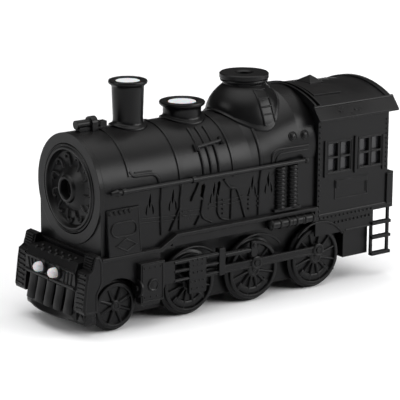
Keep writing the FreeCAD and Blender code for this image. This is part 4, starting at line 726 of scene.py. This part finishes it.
# The strap down the dome's side: rows follow the dome's profile, columns run across the strap, rims stand a
# little higher.
strapAcross = np.array([-1, -1, -0.82, -0.78, 0.78, 0.82, 1, 1])
strapLift = np.array([-0.6, 0.8, 0.9, 0.25, 0.25, 0.9, 0.8, -0.6])
strapRows = np.concatenate([domeBody[8:15], [(24.5, 112.0), (24.6, 109.6)]])
strapRadius = strapRows[:, :1] + strapLift[None] * domeValues["strapProud"]
strapX = domeValues["strapHalf"] * strapAcross[None] + 0 * strapRadius
strapY = domePlan(np.sqrt(strapRadius ** 2 - strapX ** 2), strapRows[:, 1:], math.pi / 2)[1]
strapPoints = np.stack([domeValues["x"] + strapX, strapY, strapRows[:, 1:] + 0.35 * strapLift[None]], -1)
strap = closedRun(strapPoints)
crossbars = []
for radius, z in domeValues["bars"]:
    across = np.linspace(-domeValues["barReach"], domeValues["barReach"], 7)
    path = np.stack([domeValues["x"] + across, np.sqrt(radius ** 2 - across ** 2), np.full(7, z)], 1)
    normals = np.stack([across / radius, path[:, 1] / radius, np.full(7, 0.45)], 1)
    crossbars.append(sweep(path, normals / np.linalg.norm(normals, axis=1, keepdims=True),
                           archSection(0.5, 0.85)))
makePiece("dome_cover", [dome] + paired([strap] + crossbars), "dome", "body_black",
          replaced=["mist_dome"])
print("boiler dressed")

# Wheels: the two radii, the spokes of each, the pin above the axle and where the drivers stand.
wheelValues = {"driver": 20.6, "pilot": 16.0, "spokes": 12, "pilotSpokes": 8, "pinOffset": 5.0,
               "spots": {"front": 37.4, "middle": -12.2, "rear": -61.8}, "pilotX": 91.8, "webY": 28.8,
               "weightSwing": 0.92, "weightInset": 6.9,
               "pin": [(0, 28.7), (3.4, 28.7), (3.4, 30.9), (3.0, 31.25), (2.0, 31.3), (1.8, 31.4),
                       (1.8, 33.9),
                       (1.4, 34.3), (0, 34.3)]}


# A wheel's profile for one side, as radius and y: axle, tread with its flange, web and hub.
def wheelBlank(radius, hub):
    tread = radius - 2.0
    inner = tread - 2.5
    return [(0, 29.42), (2.0, 29.42), (2.0, 26.0), (radius - 0.5, 26.0), (radius, 26.4), (radius, 27.8),
            (radius - 0.4, 28.2),
            (tread + 0.5, 28.5), (tread, 28.9), (tread, 30.3), (tread - 0.3, 30.8), (tread - 0.8, 30.95),
            (inner + 0.5, 30.95),
            (inner + 0.1, 30.6), (inner, 29.9), (inner - 0.2, 28.8), (hub + 0.5, 28.8), (hub, 29.6),
            (hub, 30.8), (hub - 0.5, 31.2),
            (hub - 1.4, 31.25), (hub - 1.6, 30.9), (1.5, 30.9), (1.2, 31.2), (0, 31.3)]


# A spoke: it narrows and thins from the hub out, with a rounded back.
def spoke(radius, hub, halfIn, halfOut):
    reach = np.linspace(hub - 0.4, radius - 4.3, 6)
    share = (reach - reach[0]) / (reach[-1] - reach[0])
    half = halfIn + (halfOut - halfIn) * share
    height = 1.9 - 0.5 * share
    section = archSection(1.0, 1.0, 0.3)
    points = np.zeros((6, len(section), 3))
    points[..., 0] = reach[:, None]
    points[..., 1] = wheelValues["webY"] + section[None, :, 1] * height[:, None]
    points[..., 2] = section[None, :, 0] * half[:, None]
    return closedRun(points)


# Both wheels of a pair: blank and spokes, and on the drivers a counterweight along an arc and a crank pin.
def wheelSide(radius, hub, count, halfIn, halfOut, pinned):
    parts = [lathe(wheelBlank(radius, hub), 1, (0, 0, 0), 72),
             turned(spoke(radius, hub, halfIn, halfOut), 1, (0, 0, 0),
                    (np.arange(count) + 0.5) * fullTurn / count)]
    if pinned:
        swing = np.linspace(-wheelValues["weightSwing"], wheelValues["weightSwing"], 18)
        reach = radius - wheelValues["weightInset"]
        arc = np.stack([reach * np.sin(swing), 0 * swing + 28.9, -reach * np.cos(swing)], 1)
        parts.append(sweep(arc, np.tile([0.0, 1.0, 0.0], (len(arc), 1)), archSection(2.3, 1.4)))
        parts.append(lathe(wheelValues["pin"], 1, (0, 0, wheelValues["pinOffset"]), 32))
    return paired(parts)


driverParts = wheelSide(wheelValues["driver"], 4.6, wheelValues["spokes"], 1.15, 0.75, True)
for word, x in wheelValues["spots"].items():
    makePiece("driver_pair_" + word, [moved(part, (x, 0, wheelValues["driver"])) for part in driverParts],
              word + "_drivers",
              "wheel_black", replaced=["driver_wheels_" + word])
pilotParts = wheelSide(wheelValues["pilot"], 3.4, wheelValues["pilotSpokes"], 1.2, 0.9, False)
makePiece("pilot_pair", [moved(part, (wheelValues["pilotX"], 0,
    wheelValues["pilot"])) for part in pilotParts], "pilot_wheelset", "wheel_black",
          replaced=["pilot_wheels"])

# Coupling rods: the height of their middle, where an eye sits and where the bar has its sections.
rodValues = {"z": 25.6, "spots": tuple(wheelValues["spots"].values()),
             "run": (37.4, 14.0, -12.2, -40.0, -61.8),
             "eye": [(1.86, 31.6), (4.2, 31.6), (4.2, 33.7), (3.8, 34.05), (3.1, 34.1), (2.8, 33.8),
                     (2.2, 33.8),
                     (1.86, 33.6)]}
rodSection = np.array([(-2.7, 31.6), (-2.7, 33.2), (-2.3, 33.6), (-1.6, 33.6), (-1.3, 33.05),
                       (1.3, 33.05), (1.6, 33.6), (2.3, 33.6), (2.7, 33.2),
                       (2.7, 31.6)])
rodPoints = np.zeros((len(rodValues["run"]), len(rodSection), 3))
rodPoints[..., 0] = np.array(rodValues["run"])[:, None]
rodPoints[..., 1] = rodSection[None, :, 1]
rodPoints[..., 2] = rodValues["z"] + rodSection[None, :, 0]
rodParts = [closedRun(rodPoints)]
for x in rodValues["spots"]:
    rodParts.append(lathe(rodValues["eye"], 1, (x, 0, rodValues["z"]), 32, True))
for word, way in (("left", 1), ("right", -1)):
    made = [outward(part) for part in rodParts]
    if way < 0:
        made = [(points * [1, -1, 1], quads[:, ::-1]) for points, quads in made]
    makePiece("coupling_rod_" + word, made, word + "_rod", "chassis_black", replaced=["side_rod_" + word])
print("wheels and rods made")

# Cylinders and motion. A bar has its corners as x and z, its half width and its height; a row of studs has
# its two ends, the count, y, radius and height; a block has its outline, its outer y and its edge.
motionValues = {
    "face": 36.4, "cylinderFace": 37.2, "back": 36.2,
    "cap": [(0, 37.0), (3.9, 37.0), (3.9, 37.7), (3.4, 38.1), (2.9, 37.9), (2.5, 37.6), (1.4, 37.8),
            (0, 38.1)],
    "cover": [(0, 77.6), (5.6, 77.6), (5.6, 78.6), (5.0, 79.1), (1.8, 79.1), (1.5, 79.7), (0, 79.9)],
    "bolt": [(0, 37.2), (1.5, 37.2), (1.5, 38.0), (1.0, 38.4), (0, 38.4)],
    "border": [(62.0, 39.6), (76.8, 39.6), (76.8, 17.0), (62.0, 17.0)],
    "bars": [([(52.8, 37.2), (19.6, 37.2)], 0.7, 0.6), ([(52.8, 31.5), (19.6, 31.5)], 0.5, 0.5),
             ([(52.8, 25.7), (19.6, 25.7)], 0.5, 0.5), ([(14.6, 35.7), (-5.4, 35.7)], 1.0, 0.8)],
    "blocks": [((15.0, 19.6, 23.6, 40.8, 0.8), 37.3, 0.35), ((-9.8, -5.0, 31.2, 41.4, 1.8), 37.4, 0.4)],
    "studs": [((42.6, 36.6), (28.6, 36.6), 5, 36.9, 0.75, 0.7),
              ((42.0, 33.4), (29.2, 33.4), 5, 36.9, 0.6, 0.6),
              ((42.0, 28.9), (29.2, 28.9), 5, 36.9, 0.75, 0.7),
              ((40.6, 23.4), (31.4, 23.4), 4, 36.9, 0.7, 0.6),
              ((40.0, 18.8), (32.0, 18.8), 3, 36.9, 0.7, 0.6),
              ((63.6, 37.4), (75.2, 37.4), 4, 37.1, 0.6, 0.6),
              ((66.4, 19.4), (75.2, 19.4), 3, 37.1, 0.6, 0.6)],
}
motion = [lathe(motionValues["cap"], 1, (69.2, 0, 26.6), 28),
          lathe(motionValues["cover"], 0, (0, 34.2, 25.5), 28),
          lathe(motionValues["bolt"], 1, (-7.4, 0, 38.8), 16),
          flatBar(motionValues["border"], motionValues["cylinderFace"], 0.45, 0.5, closed=True)]
motion += [flatBar(corners, motionValues["face"], half, height) for corners, half,
           height in motionValues["bars"]]
motion += [slab(roundBox(*box), 1, motionValues["back"], outer, edge) for box, outer,
           edge in motionValues["blocks"]]
motion += [studRow(*row) for row in motionValues["studs"]]
for x in np.linspace(12.8, -2.4, 6):
    motion.append(flatBar([(x, 34.3), (x - 1.8, 37.1)], motionValues["face"], 0.35, 0.5))
makePiece("motion_dressing", paired(motion), "engine", "chassis_black")

# Running board, skirt and reservoirs. Bars are corners, y, half width and height; arches run over the
# drivers.
boardValues = {
    "bars": [([(104.8, 46.9), (62.4, 46.9), (50.2, 53.8), (-58.0, 53.8)], 36.1, 1.1, 0.55),
             ([(104.6, 45.0), (61.6, 45.0), (49.4, 51.8), (-58.0, 51.8)], 33.3, 0.5, 0.7),
             ([(-59.6, 48.6), (-116.4, 48.6)], 35.0, 0.9, 0.8),
             ([(-84.0, 35.2), (-105.0, 35.2)], 33.4, 0.5, 0.5)],
    "studs": [((-61.5, 46.4), (-104.0, 46.7), 14, 35.0, 0.85, 0.9),
              ((-72.0, 41.4), (-104.0, 42.0), 11, 33.3, 0.95, 1.0)],
    "archRadius": 23.4, "archY": 33.35, "archLow": 33.5, "archHigh": 52.0,
    "archSwing": {"front": (0.35, 22), "middle": (0.35, 22), "rear": (0.75, 18)}, "archEnd": math.pi - 0.35,
    "tank": (0, 36.3, 48.9), "tankRings": (-21.0, -53.4, 6),
    "ring": [(2.6, -0.8), (3.15, -0.7), (3.4, 0), (3.15, 0.7), (2.6, 0.8)],
    "tankEnd": [(0, -20.4), (2.2, -20.3), (2.75, -19.6), (2.2, -18.9), (1.0, -18.6), (0, -18.6)],
}
board = [flatBar(*bar) for bar in boardValues["bars"]] + [studRow(*row) for row in boardValues["studs"]]
for word, (swingStart, count) in boardValues["archSwing"].items():
    swing = np.linspace(swingStart, boardValues["archEnd"], count)
    arch = np.stack([wheelValues["spots"][word] + boardValues["archRadius"] * np.cos(swing),
                     wheelValues["driver"] + boardValues["archRadius"] * np.sin(swing)], 1)
    shown = (arch[:, 1] > boardValues["archLow"]) & (arch[:, 1] < boardValues["archHigh"])
    board.append(flatBar(arch[shown], boardValues["archY"], 0.7, 0.9))
ringX = np.linspace(*boardValues["tankRings"])
board.append(moved(lathe(boardValues["ring"], 0, boardValues["tank"], 24, True),
                   np.stack([ringX, 0 * ringX, 0 * ringX], 1)))
board.append(lathe(boardValues["tankEnd"], 0, boardValues["tank"], 24))
makePiece("board_dressing", paired(board), "engine", "chassis_black")

# Cab sides. Pillars and plate blocks are x from and to, z from and to, corner radius, inner y, outer y and
# edge; a window is named by the x of its front pane.
cabValues = {
    "face": 35.1, "rivets": [((-60.2, 105.6), (-60.2, 51.2), 17, 35.0, 0.85, 0.8),
                             ((-115.4, 104.0), (-115.4, 73.0), 11, 35.0, 0.85, 0.8)],
    "blocks": [(-65.2, -63.6, 72.6, 96.4, 0.5, 34.6, 36.1, 0.3),
               (-90.0, -88.2, 72.6, 96.6, 0.5, 34.6, 36.2, 0.3),
               (-113.2, -111.8, 71.6, 94.8, 0.5, 34.6, 35.9, 0.3),
               (-120.2, -115.8, 48.0, 68.6, 0.6, 34.6, 36.4, 0.4),
               (-99.8, -73.0, 66.4, 69.4, 0.6, 34.8, 36.0, 0.3),
               (-75.6, -73.0, 64.6, 69.6, 0.6, 34.8, 36.4, 0.3)],
    "windows": (-67.3, -93.0), "paneStepX": 10.0, "paneStepZ": 9.6, "paneWide": 7.4, "paneHigh": 8.4,
    "paneTop": 93.8,
    "paneRim": 0.6, "frame": (18.4, 0.5, 75.2, 94.4), "frameRim": 1.0,
    "plate": [(-73.0, 57.6), (-73.0, 69.8), (-99.8, 69.8), (-99.8, 57.6)],
    "plateEnd": [(-98.6, 66.0), (-98.6, 59.4)],
}
cab = [studRow(*row) for row in cabValues["rivets"]]
cab += [slab(roundBox(*block[:5]), 1, *block[5:]) for block in cabValues["blocks"]]
reachBack, reachFront, sill, head = cabValues["frame"]
rim = cabValues["frameRim"]
for paneX in cabValues["windows"]:
    outer = roundBox(paneX - reachBack - rim, paneX + reachFront + rim, sill - rim, head + rim, 0.8)
    inner = roundBox(paneX - reachBack, paneX + reachFront, sill, head, 0.5)
    cab.append(ringSlab(outer, inner, 1, 34.9, 35.5, 0.2))
    for column, row in ((0, 0), (0, 1), (1, 0), (1, 1)):
        x1 = paneX - cabValues["paneStepX"] * column
        z1 = cabValues["paneTop"] - cabValues["paneStepZ"] * row
        x0, z0 = x1 - cabValues["paneWide"], z1 - cabValues["paneHigh"]
        rimmed = roundBox(x0 - cabValues["paneRim"], x1 + cabValues["paneRim"], z0 - cabValues["paneRim"],
                          z1 + cabValues["paneRim"], 0.8)
        cab.append(ringSlab(rimmed, roundBox(x0, x1, z0, z1, 0.5), 1, 34.9, 35.35, 0.15))
cab += [flatBar(cabValues["plate"], cabValues["face"], 0.4, 0.45, closed=True),
        flatBar(cabValues["plateEnd"], cabValues["face"], 0.5, 0.6)]
makePiece("cab_dressing", paired(cab), "engine", "body_black")
print("cab dressed")

# The pilot: upright slats before a dark backing, with a low bar that is swept back to both sides.
pilotValues = {"slats": 5, "pitch": 10.0, "half": 3.9,
               "lean": [(117.2, 28.4), (117.9, 24.0), (119.9, 16.0), (120.2, 13.6)],
               "depth": 1.3, "sweep": 0.0022,
               "backing": [(108.9, 28.5), (115.6, 28.5), (117.4, 14.0), (117.4, 10.2), (108.9, 10.2)],
               "cheek": [(108.9, 16.1), (113.4, 16.1), (114.4, 14.2), (114.6, 8.4), (112.6, 7.6),
                         (108.9, 8.6)],
               "lipHalf": 32.0, "lipNose": 121.0, "lipSweep": 0.0078, "lipLow": 9.4, "lipTop": 15.0,
               "lipDrop": 2.0, "lipBend": 20.0, "lipFade": 12.0, "lipColumns": 41}
slatPath = softPath(pilotValues["lean"], 10, 1)
slatSection = np.array([(-1, -1.6), (-1, 0.1), (-0.82, 0.75), (-0.4, 1.0), (0.4, 1.0), (0.82, 0.75),
                        (1, 0.1), (1, -1.6)])
slatPoints = np.zeros((len(slatPath), len(slatSection), 3))
slatPoints[..., 0] = slatPath[:, :1] + slatSection[None, :, 1] * pilotValues["depth"]
slatPoints[..., 1] = slatSection[None, :, 0] * pilotValues["half"]
slatPoints[..., 2] = slatPath[:, 1:]
slatY = (np.arange(pilotValues["slats"]) - (pilotValues["slats"] - 1) / 2) * pilotValues["pitch"]
pilotBars = [moved(closedRun(slatPoints),
                   np.stack([-pilotValues["sweep"] * slatY ** 2, slatY, 0 * slatY], 1)),
             slab(pilotValues["backing"], 1, -26.4, 26.4, 0.4)]

# The low bar: a rounded section carried across, its nose swept back and its foot lower towards both ends.
lipY = np.linspace(-pilotValues["lipHalf"], pilotValues["lipHalf"], pilotValues["lipColumns"])
lipX = pilotValues["lipNose"] - pilotValues["lipSweep"] * lipY ** 2
lipEase = np.clip((np.abs(lipY) - pilotValues["lipBend"]) / pilotValues["lipFade"], 0, 1) ** 1.5
lipFoot = pilotValues["lipLow"] - pilotValues["lipDrop"] * lipEase
lipSection = np.array([(-6.0, 0.0), (-6.0, 1.0), (-1.8, 1.0), (-0.9, 0.93), (-0.1, 0.62), (0.5, 0.36),
                       (1.2, 0.24), (1.4, 0.12), (1.1, 0.0)])
lipPoints = np.zeros((len(lipY), len(lipSection), 3))
lipPoints[..., 0] = lipX[:, None] + lipSection[None, :, 0]
lipPoints[..., 1] = lipY[:, None]
lipPoints[..., 2] = lipFoot[:, None] + lipSection[None, :, 1] * (pilotValues["lipTop"] - lipFoot[:, None])
pilotBars += [closedRun(lipPoints)] + paired([slab(pilotValues["cheek"], 1, 26.6, 32.2, 0.5)])
makePiece("pilot_slats", pilotBars, "engine", "body_black", replaced=["cowcatcher"])

# Wings beside the pilot, the front beam and the lamps. A straight bar has its points, the way it faces, its
# half width and its height; where the lamps sit is y and z.
wingValues = {
    "ribs": 8, "ribLow": 19.4, "ribPitch": 2.9, "ribNose": 119.0, "ribLean": 0.115,
    "ribFacing": (0.99, 0.0, 0.12),
    "brows": 5, "browLow": 43.2, "browPitch": 1.55, "browNose": 112.6, "browLean": 0.24,
    "browFacing": (0.97, 0.0, 0.24),
    "edge": [(118.9, 36.9, 18.4), (117.0, 36.9, 34.0), (115.9, 36.9, 40.8)],
    "outline": [(106.6, 46.0), (108.2, 49.8), (110.4, 49.6), (112.6, 42.4), (115.4, 40.4), (116.6, 34.0),
                (118.2, 19.2),
                (117.8, 17.4), (110.2, 17.4), (110.2, 27.4), (106.6, 34.4)],
    "studs": [(115.4, 3.2), (115.6, 10.7), (115.4, 18.0), (111.2, 3.2), (111.2, 10.7), (111.2, 18.0)],
    "studZ": 45.1,
    "beams": [([(117.9, 0.6, 39.4), (117.9, 26.6, 39.4)], (0.9, 0.0, 0.4), 0.7, 0.8),
              ([(118.1, 0.6, 30.2), (118.1, 26.6, 30.2)], (1.0, 0.0, 0.0), 1.1, 1.1)]
    + [([(118.1, y, 31.4), (118.1, y + 1.6, 38.2)], (1.0, 0.0, 0.0), 0.6, 0.8) for y in (14.6,
                                                                                         18.4, 22.2)],
    "lamp": (0, 8.0, 36.0),
    "lampRing": [(3.15, 117.6), (4.5, 117.6), (4.5, 119.0), (4.1, 119.7), (3.5, 119.9), (3.15, 119.4)],
    "lampLens": [(0, 114.7), (3.05, 114.7), (3.1, 121.0), (3.0, 122.2), (2.6, 123.3), (1.9, 124.0),
                 (1.0, 124.4), (0, 124.45)],
}


# A raised bar through points in space that faces one way all along.
def straightBar(points, facing, half, height):
    return sweep(points, np.tile(facing, (len(points), 1)), archSection(half, height))


wing = []
for i in range(wingValues["ribs"]):
    z = wingValues["ribLow"] + wingValues["ribPitch"] * i
    x = wingValues["ribNose"] - wingValues["ribLean"] * (z - 18)
    wing.append(straightBar([(x, 29.2, z), (x, 35.9, z + 0.4)], wingValues["ribFacing"], 0.6, 0.9))
wing.append(straightBar(wingValues["edge"], wingValues["ribFacing"], 0.6, 0.8))
for i in range(wingValues["brows"]):
    z = wingValues["browLow"] + wingValues["browPitch"] * i
    x = wingValues["browNose"] - wingValues["browLean"] * i * wingValues["browPitch"]
    wing.append(straightBar([(x, 28.2, z), (x, 36.4, z + 0.2)], wingValues["browFacing"], 0.5, 0.9))
wing.append(flatBar(wingValues["outline"], 37.5, 0.5, 0.5, closed=True))
wing.append(moved(stud(1.35, 1.4, 2, 12), [(x, y, wingValues["studZ"]) for x, y in wingValues["studs"]]))
wing += [straightBar(*beam) for beam in wingValues["beams"]]
wing.append(lathe(wingValues["lampRing"], 0, wingValues["lamp"], 32, True))
makePiece("front_dressing", paired(wing), "engine", "chassis_black")
makePiece("lamp_lenses", paired([lathe(wingValues["lampLens"], 0, wingValues["lamp"], 32)]), "engine",
          "lamp_clear",
          replaced=["headlamps"])

# The roof on each side: a gutter, an eave and two bolts. Bars are as on the wings.
roofValues = {"bars": [([(-56.4, 33.0, 118.2), (-121.2, 33.0, 118.2)], (0.0, 0.6, 0.8), 0.9, 0.9),
                       ([(-57.0, 39.2, 110.4), (-121.2, 39.2, 110.4)], (0.0, 1.0, 0.0), 0.7, 0.35)],
              "bolts": [(-75.0, 36.3, 114.2), (-87.0, 36.3, 114.2)]}
roof = [straightBar(*bar) for bar in roofValues["bars"]] + [moved(stud(1.1, 0.9, 2, 10),
                                                                  roofValues["bolts"])]
makePiece("roof_dressing", paired(roof), "engine", "body_black")
print("front and roof dressed")

# The floor and the studio, in metres.
stageValues = {"floorRadius": 9.0, "floorColour": (0.93, 0.93, 0.935), "skyLow": 0.04, "skyHigh": 3.4,
               "capStart": 0.68}


# A flat pale floor: rings of a growing radius about the object.
def makeFloor():
    ring = np.concatenate([[0], np.geomspace(0.15, stageValues["floorRadius"], 16)])
    angle = np.linspace(0, fullTurn, 48, endpoint=False)
    points = np.stack([ring[:, None] * np.cos(angle), ring[:, None] * np.sin(angle),
                       0 * ring[:, None] * angle], -1)
    flat, quads = gridPart(points, False, True)
    mesh = bpy.data.meshes.new("floor")
    mesh.from_pydata(flat.tolist(), [], quads.tolist())
    mesh.polygons.foreach_set("use_smooth", np.ones(len(mesh.polygons), bool))
    mesh.validate()
    floor = bpy.data.objects.new("floor", mesh)
    bpy.context.scene.collection.objects.link(floor)
    material = bpy.data.materials.new("floorPaper")
    material.use_nodes = True
    tree = material.node_tree
    shader = tree.nodes["Principled BSDF"]
    shader.inputs["Roughness"].default_value = 0.75
    shader.inputs["Specular IOR Level"].default_value = 0.3
    place = addNode(tree, "ShaderNodeTexCoord")
    noise = addNode(tree, "ShaderNodeTexNoise", values={"Scale": 3.0, "Detail": 3.0})
    tint = addNode(tree, "ShaderNodeMix", {"data_type": "RGBA"})
    tint.inputs[6].default_value = (*stageValues["floorColour"], 1)
    tint.inputs[7].default_value = (*[0.985 * c for c in stageValues["floorColour"]], 1)
    tree.links.new(place.outputs["Object"], noise.inputs["Vector"])
    tree.links.new(noise.outputs["Fac"], tint.inputs[0])
    tree.links.new(tint.outputs[2], shader.inputs["Base Color"])
    mesh.materials.append(material)


# A studio that is white to the eye and, for what the object reflects, dim at the horizon and brighter
# overhead.
def makeStudio():
    world = bpy.data.worlds.new("studio")
    bpy.context.scene.world = world
    world.use_nodes = True
    tree = world.node_tree
    sky = tree.nodes["Background"]
    place = addNode(tree, "ShaderNodeTexCoord")
    split = addNode(tree, "ShaderNodeSeparateXYZ")
    height = addNode(tree, "ShaderNodeMapRange", values={"From Min": stageValues["capStart"],
        "To Min": stageValues["skyLow"], "To Max": stageValues["skyHigh"]})
    rays = addNode(tree, "ShaderNodeLightPath")
    white = addNode(tree, "ShaderNodeMath", {"operation": "MAXIMUM"})
    tree.links.new(place.outputs["Generated"], split.inputs[0])
    tree.links.new(split.outputs["Z"], height.inputs["Value"])
    tree.links.new(rays.outputs["Is Camera Ray"], white.inputs[0])
    tree.links.new(height.outputs["Result"], white.inputs[1])
    tree.links.new(white.outputs[0], sky.inputs["Strength"])
    sky.inputs["Color"].default_value = (1.0, 1.0, 1.0, 1)


makeFloor()
makeStudio()
bpy.context.scene.view_settings.view_transform = "Standard"

lamps = [
    {"name": "softSide", "spot": (-1.05, 1.15, 0.78), "aim": (0.0, 0.0, 0.08), "size": (1.5, 0.75),
     "power": 26},
    {"name": "softFront", "spot": (1.5, -0.35, 0.75), "aim": (0.0, 0.0, 0.08), "size": (0.8, 0.8),
     "power": 8},
]
for lamp in lamps:
    light = bpy.data.lights.new(lamp["name"], "AREA")
    light.shape = "RECTANGLE"
    light.size, light.size_y = lamp["size"]
    light.energy = lamp["power"]
    thing = bpy.data.objects.new(lamp["name"], light)
    bpy.context.scene.collection.objects.link(thing)
    thing.location = lamp["spot"]
    thing.rotation_mode = "QUATERNION"
    thing.rotation_quaternion = (Vector(lamp["aim"]) - Vector(lamp["spot"])).to_track_quat("-Z", "Y")

cameraValues = {"azimuth": 143.27, "elevation": 14.68, "roll": 0.355, "distance": 1.3486,
                "aim": (0.00689, 0.0, 0.06154), "lens": 194.9}
lens = bpy.data.cameras.new("camera")
lens.lens = cameraValues["lens"]
lens.clip_start, lens.clip_end = 0.05, 60.0
camera = bpy.data.objects.new("camera", lens)
bpy.context.scene.collection.objects.link(camera)
a, e = math.radians(cameraValues["azimuth"]), math.radians(cameraValues["elevation"])
back = Vector((math.sin(a) * math.cos(e), -math.cos(a) * math.cos(e), math.sin(e)))
camera.location = Vector(cameraValues["aim"]) + back * cameraValues["distance"]
camera.rotation_mode = "QUATERNION"
camera.rotation_quaternion = (-back).to_track_quat("-Z", "Y") @ Quaternion((0, 0, 1),
                                                                           math.radians(cameraValues["roll"]))
bpy.context.scene.camera = camera
print("stage and camera set")
